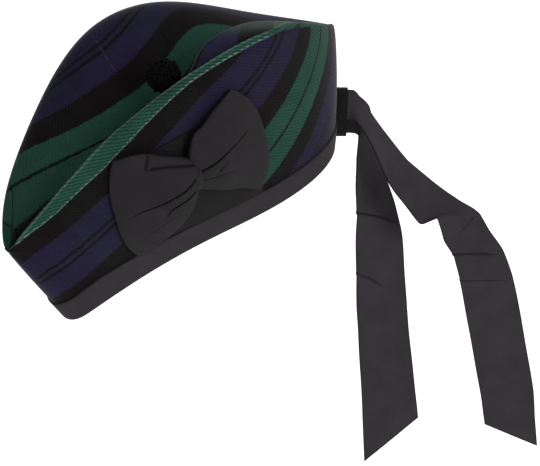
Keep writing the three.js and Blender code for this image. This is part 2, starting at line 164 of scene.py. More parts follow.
def grid_normal(points):
    """Normals of a grid of points: the way along the rows crossed with the way along the columns."""
    return unit(np.cross(np.gradient(points, axis=0), np.gradient(points, axis=1)))


def smooth_rows(rows, steps, ease=1.0):
    """Rows set between those of a table by cubic pieces whose slopes are the mean of the neighbouring
    differences, times an ease: with less ease the corners stay sharper."""
    slopes = ease * np.gradient(rows, axis=0)
    t = np.linspace(0, len(rows) - 1, steps)
    i = np.minimum(t.astype(int), len(rows) - 2)
    f = (t - i)[:, None]
    a = (1 + 2 * f) * (1 - f) ** 2 * rows[i] + f * (1 - f) ** 2 * slopes[i]
    return a + f**2 * (3 - 2 * f) * rows[i + 1] + f**2 * (f - 1) * slopes[i + 1]


def smooth_step(x, start, end):
    """0 before start, 1 after end, and a smooth cubic between."""
    t = np.clip((x - start) / (end - start), 0, 1)
    return t * t * (3 - 2 * t)


def between(x, start, full, fall, end):
    """0 before start, 1 from full to fall and 0 after end, with smooth steps between them."""
    return smooth_step(x, start, full) * (1 - smooth_step(x, fall, end))


def bell(x, width):
    """1 at zero, falling off to both sides as a bell of that width."""
    return np.exp(-((x / width) ** 2))


# %% [markdown]
# The cap's outer surface is one smooth sheet. A cloth simulation would drape it differently on every
# head, so the form is drawn as a tailor would: nine sections from the front seam to the rear seam, each a
# short list of points up the left side, over the folded crown and down the right side, joined by a cubic
# B-spline both ways.

# %% The cap's surface
NOSE_DOWN = math.radians(18)
WALL_BULGE = 5.5
FULL_WIDTH = 36.0
ROLL_DROP, ROLL_RISE, ROLL_HALF = 8.0, 4.0, 1.5
SHOULDER_INSET, SHOULDER_DROP = 8.0, 3.0
SLOPE_INSET, SLOPE_DROP, SLOPE_PUFF = 9.0, 5.0, 0.8
DOME_OVERHANG, DOME_DROP, DOME_RISE = 7.0, 31.0, 2.0
# shares of a wall's height, and of the way from the valley to the dome with the share of its rise
LEFT_SHARES, RIGHT_SHARES = (0.3, 0.65), (0.62, 0.3)
DOME_SLOPE = ((0.36, 0.45), (0.72, 0.92))
PLEAT_RISE = 12.0
# where the pleat starts, is full, begins to fall and ends
PLEAT_STATIONS = (4.0, 4.45, 4.45, 6.0)
PLEAT_COLUMNS = (4.3, 5.1, 5.6, 7.0)
# brim x, brim z, brim left, brim right, top x, ridge, ridge z, valley, valley z, dome, dome z, puff
CAP_ROWS = np.array([
    (-118, -4, 0, 0, -150, 0, 60, 0, 61, 0, 62, 0),
    (-114, -4, 9, 9, -142, 9, 75, -2, 71, 11, 75, 0),
    (-101, 1, 15, 20, -117, 21, 95, -4, 82, 38, 91, 0),
    (-53, 4.5, 17, 34, -59, 37, 120, -7, 95, 61, 126, 0),
    (0, 3.5, 19, 42, 0, 46, 134, -9, 104, 71, 160, 2),
    (55, -0.5, 24, 43, 64, 47, 136, -9, 106, 67, 155, 16),
    (104, 2, 26, 38, 120, 38, 117, -7, 101, 47, 119, 11),
    (135, 10, 19, 22, 158, 18, 98, -2, 95, 25, 98, 3),
    (144, 16, 0, 0, 172, 0, 91, 0, 91, 0, 91, 0),
], dtype=float)


def cap_net(rows):
    """Control points of all sections: walls that bulge, a roll at the ridge, a slope down to the valley,
    a slope up to the dome and its overhang. A mirrored section past each seam rounds the ends, and a
    point past each brim goes on in a straight line."""
    brim_x, brim_z, brim_left, brim_right, top_x, ridge = rows.T[:6]
    ridge_z, valley, valley_z, dome, dome_z, puff = rows.T[6:]
    wide = np.minimum(1, (ridge + dome) / FULL_WIDTH)

    def at(y, z):
        lift = np.clip((z - brim_z) / (ridge_z - brim_z), 0, 1)
        return np.stack([brim_x + (top_x - brim_x) * lift, y, z], axis=-1)

    def wall(side, foot, head, head_z, k):
        reach = foot + (head - foot) * k + WALL_BULGE * wide * 4 * k * (1 - k)
        return at(side * reach, brim_z + (head_z - brim_z) * k)

    rise, reach = dome_z - valley_z, dome - valley
    eaves, eaves_z = dome + DOME_OVERHANG * wide, dome_z - DOME_DROP * wide
    sections = np.stack([
        at(-brim_left, brim_z),
        *(wall(-1, brim_left, ridge, ridge_z, k) for k in LEFT_SHARES),
        at(-ridge - ROLL_HALF * wide, ridge_z - ROLL_DROP * wide),
        at(-ridge + ROLL_HALF * wide, ridge_z + ROLL_RISE * wide),
        at(-ridge + SHOULDER_INSET * wide, ridge_z - SHOULDER_DROP * wide + puff),
        at((valley - ridge + SLOPE_INSET * wide) / 2,
           (ridge_z + valley_z) / 2 + SLOPE_PUFF * puff - SLOPE_DROP * wide),
        at(valley, valley_z),
        *(at(valley + out * reach, valley_z + up * rise) for out, up in DOME_SLOPE),
        at(dome, dome_z + DOME_RISE * wide),
        at(eaves, eaves_z),
        *(wall(1, brim_right, eaves, eaves_z, k) for k in RIGHT_SHARES),
        at(brim_right, brim_z),
    ], axis=1)
    flip = np.array([1, -1, 1])
    sections = np.concatenate([sections[1:2] * flip, sections, sections[-2:-1] * flip])
    before, after = 2 * sections[:, :1] - sections[:, 1:2], 2 * sections[:, -1:] - sections[:, -2:-1]
    return np.concatenate([before, sections, after], axis=1)


CAP_NET = cap_net(CAP_ROWS)
LAST_STATION = len(CAP_ROWS) - 1
LAST_COLUMN = CAP_NET.shape[1] - 3


def spline_weights(f):
    """The four weights of a uniform cubic B-spline at a share f of a span."""
    weights = [(1 - f) ** 3, 3 * f**3 - 6 * f**2 + 4, -3 * f**3 + 3 * f**2 + 3 * f + 1, f**3]
    return np.stack(weights, axis=-1) / 6


def pleat_rise(station, column):
    """How far the crown's near half stands up behind the toorie: steep at its front, running out
    behind."""
    return PLEAT_RISE * between(station, *PLEAT_STATIONS) * between(column, *PLEAT_COLUMNS)


def cap_point(station, column, pleated=True):
    """Points of the cap's outer surface in its own frame, mm: a weighted sum of 4 x 4 control points."""
    station, column = np.broadcast_arrays(np.asarray(station, float), np.asarray(column, float))
    i = np.clip(np.floor(station).astype(int), 0, LAST_STATION - 1)
    j = np.clip(np.floor(column).astype(int), 0, LAST_COLUMN - 1)
    near = CAP_NET[(i[..., None] + np.arange(4))[..., :, None], (j[..., None] + np.arange(4))[..., None, :]]
    weights = spline_weights(station - i), spline_weights(column - j)
    points = np.einsum("...a,...b,...abk->...k", *weights, near)
    points[..., 2] += pleated * pleat_rise(station, column)
    return points


def cap_normal(station, column, step=0.02):
    """Outward normals: the way along the stations crossed with the way along the columns."""
    along = cap_point(np.minimum(station + step, LAST_STATION), column)
    along = along - cap_point(np.maximum(station - step, 0), column)
    across = cap_point(station, np.minimum(column + step, LAST_COLUMN))
    across = across - cap_point(station, np.maximum(column - step, 0))
    return unit(np.cross(along, across))


def to_row(points):
    """The cap's own frame in mm to the shared frame in metres: the front tipped down about Y."""
    x, y, z = points[..., 0], points[..., 1], points[..., 2]
    c, s = math.cos(NOSE_DOWN), math.sin(NOSE_DOWN)
    return np.stack([x * c - z * s, y, x * s + z * c], axis=-1) * MM


print("cap net", CAP_NET.shape, "crown height", round(float(cap_point(4.5, 9.8)[2]), 1), "mm")

# %% [markdown]
# Two sides and a crown are cut from tartan. Each is the part of the surface between two lines of it, and
# gets its thickness inward. The crown's edge is turned over the left ridge and sewn down on the side, so
# a narrow strip there stands a little proud. It could be a separate piece, but one raised band in the
# sheet leaves no gap.

# %% Lengths on the cap and the turned-over strip
CLOTH = 2.4
STATIONS = np.linspace(0, LAST_STATION, 321)
COLUMNS = np.linspace(0, LAST_COLUMN, 281)
RIDGE_INDEX, VALLEY_INDEX, DOME_INDEX = 80, 140, 206
SIDE_MIDDLE_INDEX, CROWN_MIDDLE_INDEX = 40, 170
STRIP_TURN, STRIP_SOFT, STRIP_PROUD, CREST_PROUD, CREST_WIDE = 0.2, 0.03, 0.8, 0.5, 1.2
# station and column of the crest, which is the fold line along the ridge, and of the strip's lower edge
CREST = np.array([
    (0, 3.6), (0.7, 3.55), (1.1, 3.54), (1.5, 3.52), (1.9, 3.6), (2.1, 3.7), (2.4, 3.8), (3.0, 4.25),
    (3.7, 4.28), (4.3, 4.12), (5.1, 4.12), (5.6, 4.28), (8, 4.2),
])
STRIP_EDGE = np.array([
    (0, 3.8), (0.6, 3.55), (0.8, 3.36), (1.3, 3.14), (1.6, 3.02), (1.9, 2.95), (2.7, 3.0), (3.35, 3.3),
    (4.0, 3.65), (4.7, 3.68), (5.2, 3.82), (5.45, 3.98), (5.6, 4.4), (5.9, 4.6), (8, 4.6),
])
# station, how far the fold drops behind the crest, and the columns over which it rises again
FOLD = np.array([
    (0.3, 0, 5.2, 7.0), (0.9, 8, 5.2, 7.0), (2.4, 8, 5.2, 7.0),
    (3.4, 4, 4.5, 5.1), (5.2, 4, 4.5, 5.1), (5.7, 0, 4.5, 5.1),
])
FOLD_STEP = (0.3, 3.5)
# painted shade in the valley: its darkness at the crest, its fall-off behind it and where it starts, mm
VALLEY_DARK, VALLEY_REACH, VALLEY_FROM = 0.85, 16.0, 0.5
# station and column of a tuck in the far half behind the front tip, and of a pale thread across the far dome
TUCK = np.array([(0, 6.0), (0.83, 7.2), (1.14, 8.1), (1.5, 8.6), (1.8, 9.0), (2.0, 9.6), (8, 9.6)])
# TUCK_DARK: how dark the painted shade in the front tuck is
TUCK_DEEP, TUCK_WIDE, TUCK_DARK = 1.6, 1.1, 0.8
SEAM_DARK, SEAM_WIDE = 0.6, 0.8
THREAD_STATION, THREAD_LEAN, THREAD_COLUMNS, STATION_LENGTH = 3.83, 0.106, (8.2, 9.6), 57.0
# station and column of the puff's top edge, where the nap catches the light
PUFF_EDGE = np.array([(4.3, 5.3), (4.6, 5.25), (5.0, 5.05), (5.4, 4.8), (5.8, 4.6)])
# painted sheen on the puff's top edge and the rear edge: how strong, how wide, and the rear edge's place
PUFF_PAINTED_SHEEN, PUFF_WIDE, REAR_PAINTED_SHEEN, REAR_PLACE, REAR_WIDE = 0.4, 0.3, 0.28, 7.72, 0.12
# stations, and for the rear edge columns, where a line starts, is full, begins to fade and ends
RIDGE_STATIONS = (0.4, 0.8, 5.2, 5.8)
TUCK_STATIONS = (0.5, 0.8, 1.7, 2.1)
FRONT_TUCK_STATIONS = (0.2, 0.5, 0.9, 1.5)
VALLEY_STATIONS = (0.3, 0.8, 3.6, 4.4)
PUFF_STATIONS = (4.4, 5.0, 5.6, 6.0)
REAR_COLUMNS = (0.8, 2.0, 3.6, 4.2)
# distances in mm: one at which no painted highlight or thread shows, and where the thread and lit edge are
# set
FAR_OFF, THREAD_FAINT, LIT_EDGE_IN = 9.0, 0.4, 0.4
TIP_THIN, TIP_REACH = 0.3, 0.4
WALL_TWILL, CROWN_TWILL, STRIP_TWILL = 0.4, 0.08, 0.8


def lengths_along(points, axis):
    """Length from the first point, summed along one way of a grid."""
    steps = np.linalg.norm(np.diff(points, axis=axis), axis=-1)
    start = np.zeros_like(np.take(steps, [0], axis=axis))
    return np.cumsum(np.concatenate([start, steps], axis=axis), axis=axis)


def strip_share(station, column):
    """1 on the strip that is turned over the ridge and 0 off it."""
    low, top = np.interp(station, *STRIP_EDGE.T), np.interp(station, *CREST.T) + STRIP_TURN
    return between(column, low - STRIP_SOFT, low + STRIP_SOFT, top, top + STRIP_TURN)


def from_line(lengths, line):
    """Distance of every point of a grid from a line that crosses each row at a given column."""
    share = line / COLUMNS[1]
    index = np.clip(share.astype(int), 0, len(COLUMNS) - 2)[:, None]
    low, high = np.take_along_axis(lengths, index, 1), np.take_along_axis(lengths, index + 1, 1)
    return lengths - (low + (high - low) * (share[:, None] - index))


STATION_GRID, COLUMN_GRID = np.meshgrid(STATIONS, COLUMNS, indexing="ij")
CAP_POINTS = cap_point(STATION_GRID, COLUMN_GRID)
CAP_NORMALS = cap_normal(STATION_GRID, COLUMN_GRID)
FLAT_POINTS = cap_point(STATION_GRID, COLUMN_GRID, pleated=False)
ACROSS = lengths_along(FLAT_POINTS, 1)
ALONG = lengths_along(FLAT_POINTS, 0)
STRIP = strip_share(STATION_GRID, COLUMN_GRID)
FROM_CREST = from_line(ACROSS, np.interp(STATIONS, *CREST.T))
FROM_STRIP_EDGE = from_line(ACROSS, np.interp(STATIONS, *STRIP_EDGE.T))
FROM_TUCK = from_line(ACROSS, np.interp(STATIONS, *TUCK.T))
ON_RIDGE = between(STATION_GRID, *RIDGE_STATIONS)
PROUD = STRIP_PROUD * STRIP + CREST_PROUD * ON_RIDGE * bell(FROM_CREST, CREST_WIDE)
PROUD -= TUCK_DEEP * between(STATION_GRID, *TUCK_STATIONS) * bell(FROM_TUCK, TUCK_WIDE)
# behind the crest the cloth is folded in, so the ridge is a sharp edge in front of the toorie
drop, rise_from, rise_to = (np.interp(STATION_GRID, FOLD[:, 0], FOLD[:, n]) for n in (1, 2, 3))
folded_in = smooth_step(FROM_CREST, *FOLD_STEP) * (1 - smooth_step(COLUMN_GRID, rise_from, rise_to))
CAP_POINTS[..., 2] -= drop * folded_in
# painted shade behind the crest, where the ridge shades the valley, and in the front tuck; a darker dome
# seam
in_valley = between(STATION_GRID, *VALLEY_STATIONS) * (FROM_CREST > VALLEY_FROM)
PAINTED_SHADE_AND_SEAM = 1 - VALLEY_DARK * in_valley * np.exp(-np.maximum(FROM_CREST, 0) / VALLEY_REACH)
PAINTED_SHADE_AND_SEAM *= 1 - TUCK_DARK * between(STATION_GRID, *FRONT_TUCK_STATIONS) * bell(FROM_TUCK, TUCK_WIDE)
PAINTED_SHADE_AND_SEAM *= 1 - SEAM_DARK * bell(ACROSS - ACROSS[:, [DOME_INDEX]], SEAM_WIDE)
thread_station = THREAD_STATION + THREAD_LEAN * (COLUMN_GRID - THREAD_COLUMNS[0])
thread_line = STATION_LENGTH * np.abs(STATION_GRID - thread_station)
off_thread = np.maximum(THREAD_COLUMNS[0] - COLUMN_GRID, COLUMN_GRID - THREAD_COLUMNS[1]) > 0
# painted highlights: a lit line along the crest and lit dashes on the strip's lower edge, along the ridge
crest_highlight, LIT_STRIP_EDGE = (
    FAR_OFF - (FAR_OFF - np.abs(away).clip(0, FAR_OFF)) * ON_RIDGE
    for away in (FROM_CREST, FROM_STRIP_EDGE - LIT_EDGE_IN)
)
# the painted crest highlight and the real pale thread across the far dome share one number
PALE = np.minimum(crest_highlight, thread_line + THREAD_FAINT + FAR_OFF * off_thread)
# painted sheen: pale bands on the puff's top edge and the left side's rear edge, where light grazes the nap
puff_edge = bell(COLUMN_GRID - np.interp(STATION_GRID, *PUFF_EDGE.T), PUFF_WIDE)
rear_edge = bell(STATION_GRID - REAR_PLACE, REAR_WIDE) * between(COLUMN_GRID, *REAR_COLUMNS)
PAINTED_SHEEN = PUFF_PAINTED_SHEEN * between(STATION_GRID, *PUFF_STATIONS) * puff_edge + REAR_PAINTED_SHEEN * rear_edge
TWILL = np.where(FROM_CREST < 0, WALL_TWILL, CROWN_TWILL) * (1 - STRIP) + STRIP_TWILL * STRIP
print("brim to brim over the crown", round(float(ACROSS[:, -1].max())), "mm")

# %% [markdown]
# Tartan is woven, so its stripes follow the cloth and not the space around it. The cloth's own two
# coordinates are kept at every point: how far across the broad stripes a point lies, and how far along
# them. On the left side the stripes climb from the front and turn upward at the rear; on the crown they
# follow the valley.

# %% Where the stripes run
SETT = 98.0
SIDE_START, SIDE_DOWN, SIDE_CLIMB = 68.0, 0.71, 0.21
REAR_FROM, REAR_TURN = 190.0, 32.0
FRONT_TO, FRONT_FAN = 160.0, 0.14
SIDE_CROSS_ALONG, SIDE_CROSS_UP = 0.93, 0.37
STRIP_GREEN, STRIP_SLANT, STRIP_ALONG, STRIP_UP = -7.0, 0.55, 0.45, 0.6
STRIP_GREEN_ENDS, STRIP_MIDDLE_INDEX = (-14.0, -0.5), 72
BRIM_STRAIGHT = np.array([0, 0, 0, 0, 0, 0, 2, 8, 16.0])
CROWN_GREEN_TOP, CROWN_SCALE = 98.0, 0.8
# length from the front, and how far above the valley the green stripe's upper edge lies there
CROWN_GREEN = np.array([
    (0, 94), (40, 62), (80, 38.5), (120, 24.5), (160, 20), (180, 22), (200, 28), (214, 33.5),
    (228, 38), (240, 39.5), (252, 37), (268, 29), (285, 18), (330, -8),
], float)
# on the near half the stripes go on in the bend that they have at the dip beside the toorie
DIP_ROW, NEAR_BEND, NEAR_SCALE, NEAR_STEP = 4, 0.0043, 1.5, (5.0, 30.0)
# the narrow flange in front of the tuck is kept green
FLANGE_GREEN, FLANGE_STEP, FLANGE_END = 86.0, (-1.0, 1.0), (1.0, 1.5)
CROWN_CROSS_SHIFT, CROWN_FRONT_SPREAD, CROWN_FRONT_REACH = 30.0, 0.5, 110.0


def side_stripes(along, up):
    """Across: a start, less so much per mm up, plus so much per mm rearward, fanned in front and turned
    up behind. Along: the same two lengths turned by the stripes' slant."""
    rear = np.maximum(0, along - REAR_FROM) / 100
    front = np.maximum(0, FRONT_TO - along) / 100
    across = SIDE_START - SIDE_DOWN * up + SIDE_CLIMB * along + REAR_TURN * rear**2 - FRONT_FAN * front * up
    return np.stack([across, SIDE_CROSS_ALONG * along + SIDE_CROSS_UP * up], axis=-1)


def crown_stripes(along, across):
    """Across: the distance above a curve that dips beside the toorie, scaled. Along: the length from the
    front."""
    green_top = np.interp(along, *smooth_rows(CROWN_GREEN, 400).T)
    dip_along, dip_height = CROWN_GREEN[DIP_ROW]
    bend = dip_height + NEAR_BEND * (along - dip_along) ** 2
    near = smooth_step(-across, *NEAR_STEP) * (along > dip_along)
    green_top = green_top + (bend - green_top) * near
    spread = smooth_step(along, 0.0, CROWN_FRONT_REACH)
    scale = CROWN_SCALE * (CROWN_FRONT_SPREAD + (1 - CROWN_FRONT_SPREAD) * spread)
    across = across * np.where(across < 0, NEAR_SCALE, 1.0)
    return np.stack([CROWN_GREEN_TOP + scale * (across - green_top), along - CROWN_CROSS_SHIFT], axis=-1)


# the brim is cut in a curve, so the stripes are measured from where a straight cut would lie
above_cut = np.interp(STATIONS, np.arange(len(CAP_ROWS)), CAP_ROWS[:, 1] - BRIM_STRAIGHT)[:, None]
left_along, right_along = ALONG[:, [SIDE_MIDDLE_INDEX]], ALONG[:, [-1 - SIDE_MIDDLE_INDEX]]
side_threads = side_stripes(left_along + 0 * ACROSS, ACROSS + above_cut)
right_threads = side_stripes(right_along + 0 * ACROSS, ACROSS[:, -1:] - ACROSS + above_cut)
crown_along = ALONG[:, [CROWN_MIDDLE_INDEX]] + 0 * ACROSS
crown_threads = crown_stripes(crown_along, ACROSS - ACROSS[:, [VALLEY_INDEX]])
flange = smooth_step(FROM_TUCK, *FLANGE_STEP) * (1 - smooth_step(STATION_GRID, *FLANGE_END))
crown_threads[..., 0] += flange * np.maximum(FLANGE_GREEN - crown_threads[..., 0], 0)
strip_green = STRIP_GREEN - STRIP_SLANT * (ACROSS - ACROSS[:, [STRIP_MIDDLE_INDEX]])
strip_green = np.clip(strip_green, *STRIP_GREEN_ENDS)
strip_threads = np.stack([strip_green, STRIP_ALONG * left_along + STRIP_UP * ACROSS], axis=-1)
on_strip = (STRIP > 0.5)[..., None]
side_threads = np.where(on_strip, strip_threads, side_threads)
crown_threads = np.where(on_strip, strip_threads, crown_threads)

# %% [markdown]
# The three panels could each be modelled alone, but cut from one surface they meet without a gap, as sewn
# cloth does. Each keeps its stripes, its pale thread, its painted highlights, sheen and shade, and how
# strongly its twill shows.

# %% Sides and crown
def cap_panel(name, first, last, threads):
    """The surface over all stations between two columns, CLOTH thick, with the turned-over strip standing
    proud. The cloth thins out at the two tips, where the panels run together."""
    part = np.s_[:, first:last + 1]
    outer = CAP_POINTS[part] + PROUD[part][..., None] * CAP_NORMALS[part]
    tip = np.minimum(STATION_GRID, LAST_STATION - STATION_GRID)[part]
    thick = TIP_THIN + (CLOTH - TIP_THIN) * smooth_step(tip, 0, TIP_REACH)
    inner = CAP_POINTS[part] - thick[..., None] * CAP_NORMALS[part]
    looks = {"pale": PALE, "lit_strip_edge": LIT_STRIP_EDGE, "twill": TWILL, "shade": PAINTED_SHADE_AND_SEAM, "painted_sheen": PAINTED_SHEEN}
    looks = {key: values[part] for key, values in looks.items()}
    return cloth_sheet(name, to_row(outer), to_row(inner), threads[part], **looks)


side_left = cap_panel("tartan_side_left", 0, RIDGE_INDEX, side_threads)
crown = cap_panel("tartan_crown", RIDGE_INDEX, DOME_INDEX, crown_threads)
side_right = cap_panel("tartan_side_right", DOME_INDEX, len(COLUMNS) - 1, right_threads)

# %% [markdown]
# The brim is bound with ribbon folded over its edge. A profile, down the outside, round the fold and up
# the inside, is carried along the brim.

# %% Edge binding
RIBBON = 1.0
GAP = 0.3
# station and how far the ribbon reaches up the wall there
BAND = np.array([(0, 16), (1.2, 18), (2.2, 21), (3.2, 20), (4.2, 18), (8, 18)], float)
# columns up from the brim that are tried for the ribbon's upper edge
BAND_SEARCH = np.linspace(0, 1.6, 81)
LEAF_POINTS, TURN_POINTS = 14, 11


def band_reach(side, stations):
    """How far up the wall in columns the ribbon reaches: where the wall's length from the brim is the
    band's."""
    band = np.interp(stations, *BAND.T)
    columns = BAND_SEARCH if side < 0 else LAST_COLUMN - BAND_SEARCH
    climb = lengths_along(cap_point(stations[:, None], columns[None, :]), 1)
    first = np.argmax(climb >= band[:, None], axis=1)
    rows = np.arange(len(stations))
    share = (band - climb[rows, first - 1]) / (climb[rows, first] - climb[rows, first - 1])
    return columns[first - 1] + share * (columns[first] - columns[first - 1])


def binding_profile(side, stations):
    """Sections of the folded ribbon: down the outside, half round the wall's edge, up the inside, then
    back."""
    reach = band_reach(side, stations)
    foot = 0.0 if side < 0 else float(LAST_COLUMN)
    share = np.linspace(1, 0, LEAF_POINTS)
    columns = foot + (reach - foot)[:, None] * share[None, :]
    wall = cap_point(stations[:, None], columns)
    out = cap_normal(stations[:, None], columns)
    down = unit(wall[:, -1:] - wall[:, -2:-1])
    middle = wall[:, -1:] - out[:, -1:] * CLOTH / 2
    turn = np.linspace(0, math.pi, TURN_POINTS)[1:-1][None, :, None]

    def leaf(off):
        radius = CLOTH / 2 + off
        fold = middle + radius * (np.cos(turn) * out[:, -1:] + np.sin(turn) * down)
        inside = (wall - (CLOTH + off) * out)[:, ::-1]
        return np.concatenate([wall + off * out, fold, inside], axis=1)

    return np.concatenate([leaf(GAP + RIBBON), leaf(GAP)[:, ::-1]], axis=1)


def loop_faces(rows, cols):
    """Quads of a closed loop of closed sections, as point numbers."""
    number = np.arange(rows * cols).reshape(rows, cols)
    onward, beside = np.roll(number, -1, axis=0), np.roll(number, -1, axis=1)
    return quads(number, onward, np.roll(onward, -1, axis=1), beside)


def edge_binding_loop():
    """The profile round the left side from front to rear and the right side back to the front."""
    left = binding_profile(-1, STATIONS[::2])
    right = binding_profile(1, STATIONS[-3:0:-2])
    sections = np.concatenate([left, right])
    around = lengths_along(sections, 0)[:, :1] + 0 * sections[..., 0]
    up = lengths_along(sections, 1)
    threads = np.stack([up, around], axis=-1)
    half = sections.shape[1] // 2
    edge = np.minimum(up, np.abs(up[:, [half]] - up))
    faces = loop_faces(*sections.shape[:2])
    piece = new_piece("ribbon_edge_binding", to_row(sections), faces, threads, edge=edge)
    print("edge binding runs", round(float(around.max())), "mm round")
    return piece


edge_binding = edge_binding_loop()

# %% [markdown]
# The cockade bow is one ribbon, folded to two loops on a flat back and pinched by a small wrap. It lies
# on the left side, so its points are found on the wall first and then stand off it.

# %% The bow's place on the wall
BOW_STATION, BOW_COLUMN = 3.83, 1.46
NEWTON_STEP, NEWTON_ROUNDS = 0.01, 8
BOW_CENTRE = cap_point(BOW_STATION, BOW_COLUMN)
BOW_OUT = cap_normal(BOW_STATION, BOW_COLUMN)
BOW_ALONG = unit(cap_point(BOW_STATION + 0.1, BOW_COLUMN) - cap_point(BOW_STATION - 0.1, BOW_COLUMN))
BOW_UP = unit(np.cross(BOW_OUT, BOW_ALONG))


def on_wall(a, b):
    """Wall points under places (a rearward, b up) of the bow's frame, by Newton steps on station and
    column."""
    station, column = np.full_like(a, BOW_STATION), np.full_like(a, BOW_COLUMN)
    step = NEWTON_STEP

    def miss(s, c):
        d = cap_point(s, c) - BOW_CENTRE
        return d @ BOW_ALONG - a, d @ BOW_UP - b

    for _ in range(NEWTON_ROUNDS):
        u, v = miss(station, column)
        us, vs = ((w - w0) / step for w, w0 in zip(miss(station + step, column), (u, v)))
        uc, vc = ((w - w0) / step for w, w0 in zip(miss(station, column + step), (u, v)))
        det = us * vc - uc * vs
        station = station - (u * vc - v * uc) / det
        column = column - (v * us - u * vs) / det
    return cap_point(station, column)


def bow_point(a, b, h):
    """Points of the bow: the wall's point pushed out by h along the bow's own outward way."""
    a, b, h = np.broadcast_arrays(a, b, h)
    return on_wall(a, b) + h[..., None] * BOW_OUT


# %% [markdown]
# A gathered ribbon creases where it is pinched. Each crease is a short line on the bow: the cloth on one
# side of it stands up and laps over the other side, and the step fades out at the line's far end. Its
# groove is darkened as painted shade.
# Sculpting would give the same, but lines in a table can be moved one by one against the photograph.

# %% Folds along lines
# painted shade in a crease: half width per mm of groove, soft edge, and how far below the line, mm
CREASE_HALF, CREASE_SOFT, CREASE_BELOW = 0.5, 0.5, 0.3
# shares of a line's length over which its step and its painted crease shade fade out
FOLD_FADE, CREASE_FADE = (0.7, 1.0), (0.6, 1.0)
# mm across a line: where the raised side steps up, and the groove's place and width
LAP_STEP, GROOVE_BELOW, GROOVE_WIDE = (-0.5, 0.6), 0.5, 1.0


def line_distance(a, b, line):
    """For each place: its signed distance from the nearest piece of a line, left side positive, and the
    share of the line's length at that nearest point."""
    start, way = line[:-1], np.diff(line, axis=0)
    off = np.stack([a, b], axis=-1)[..., None, :] - start
    t = np.clip((off * way).sum(-1) / (way**2).sum(-1), 0, 1)
    off = off - t[..., None] * way
    far = np.linalg.norm(off, axis=-1)
    side = np.sign(way[:, 0] * off[..., 1] - way[:, 1] * off[..., 0])
    nearest = far.argmin(-1)[..., None]
    signed = np.take_along_axis(far * side, nearest, -1)[..., 0]
    share = (np.take_along_axis(t, nearest, -1) + nearest)[..., 0] / len(way)
    return signed, share


def fold_height(a, b, folds):
    """The height that the folds add, and how much painted crease shade each place gets, from 0 to 1. Each
    fold is a raised side that falls away with distance, and a groove beside it. The painted shade of a
    crease lies in the groove and narrows along the line."""
    height, crease = np.zeros_like(a), np.zeros_like(a)
    for line, side, rise, reach, groove in folds:
        signed, share = line_distance(a, b, np.array(line, float))
        signed = side * signed
        fade = 1 - smooth_step(share, *FOLD_FADE)
        lap = rise * smooth_step(signed, *LAP_STEP) * np.exp(-np.maximum(signed, 0) / reach)
        height += fade * (lap - groove * bell(signed + GROOVE_BELOW, GROOVE_WIDE))
        half = CREASE_HALF * groove * (1 - share)
        off = np.maximum(np.abs(signed + CREASE_BELOW + half) - half, 0)
        dark = (1 - smooth_step(share, *CREASE_FADE)) * bell(off, CREASE_SOFT)
        crease = np.maximum(crease, dark)
    return height, crease


# %% [markdown]
# The loops are ruled between an upper and a lower edge and puffed off the wall. A cloth simulation could
# puff them too, but drawn edges keep the outline that the photograph shows.

# %% The bow's four pieces
BOW_BACK_REACH, BOW_BACK_HIGH, BOW_BACK_LOW, BOW_BACK_SLANT = 57.0, 37.0, -42.0, -0.165
BOW_PUFF, PUFF_LEAN, PUFF_FULLNESS, PUFF_FALL = 7.5, 0.8, 0.7, 0.35
LOOP_ROWS, LOOP_COLS, LOOP_PINCH, BULGE_POWER = 150, 190, 2.0, 1.5
# shares of a loop's length, and of its half width, where its folds come in and go out
FOLDS_ALONG, FOLDS_ACROSS = (0.0, 0.08, 0.9, 1.0), (0.93, 1.0)
LOOP_REST = 2 * (GAP + RIBBON) + 0.4
KNOT_A, KNOT_B, KNOT_HALF, KNOT_TALL, KNOT_LIFT, KNOT_RISE = -3.0, 3.0, 5.0, 9.0, 4.0, 5.0
# rearward and up of the upper edge, then of the lower edge, from the knot to the end fold
LOOP_REAR_EDGES = np.array([
    (-8, 17, 0, -9), (0, 37, 12, -16), (10, 41, 22, -22), (23, 46, 36, -30), (42, 50, 52, -44),
], float)
LOOP_FRONT_EDGES = np.array([
    (0, 12, -2, -9), (-8, 24, -10, -18), (-23, 34, -21, -27), (-40, 44, -38, -33), (-58, 46, -56, -37),
], float)
REAR_BULGE, FRONT_BULGE = 17.0, -11.0
# line, side that is raised, rise, reach, groove
REAR_FOLDS = [
    ([(-3, 9), (18, 12), (33, 14), (50, 17)], 1, 2.0, 22, 3.2),
    ([(15, 2), (20, 4), (24, 7)], 1, 0.8, 8, 0.8),
    ([(3, 0), (16, -3), (30, -6)], 1, 0.6, 9, 0.5),
]
FRONT_FOLDS = [
    ([(-1, 15), (-12, 20), (-26, 27), (-37, 31), (-43, 31)], 1, 0.7, 25, 1.2),
    ([(-36, 40), (-39, 35), (-42, 30)], 1, 0.6, 8, 1.0),
    ([(-1, 11), (-8, 7), (-17, 4), (-32, 3), (-49, 3), (-67, 1)], -1, 1.8, 22, 3.0),
    ([(-2, -2), (-16, -5), (-30, -6), (-36, -12)], -1, 1.6, 14, 3.0),
    ([(-30, -14), (-44, -18), (-56, -20)], -1, 0.6, 10, 0.4),
]


def bow_sheet(name, a, b, h, edge, crease=0.0):
    """A ribbon sheet over a grid of places, with its upper face at height h."""
    top, under = bow_point(a, b, h), bow_point(a, b, h - RIBBON)
    threads = np.stack([b + 0 * a, a + 0 * b], axis=-1)
    return cloth_sheet(name, to_row(top), to_row(under), threads, edge=edge, crease=crease + 0 * edge)


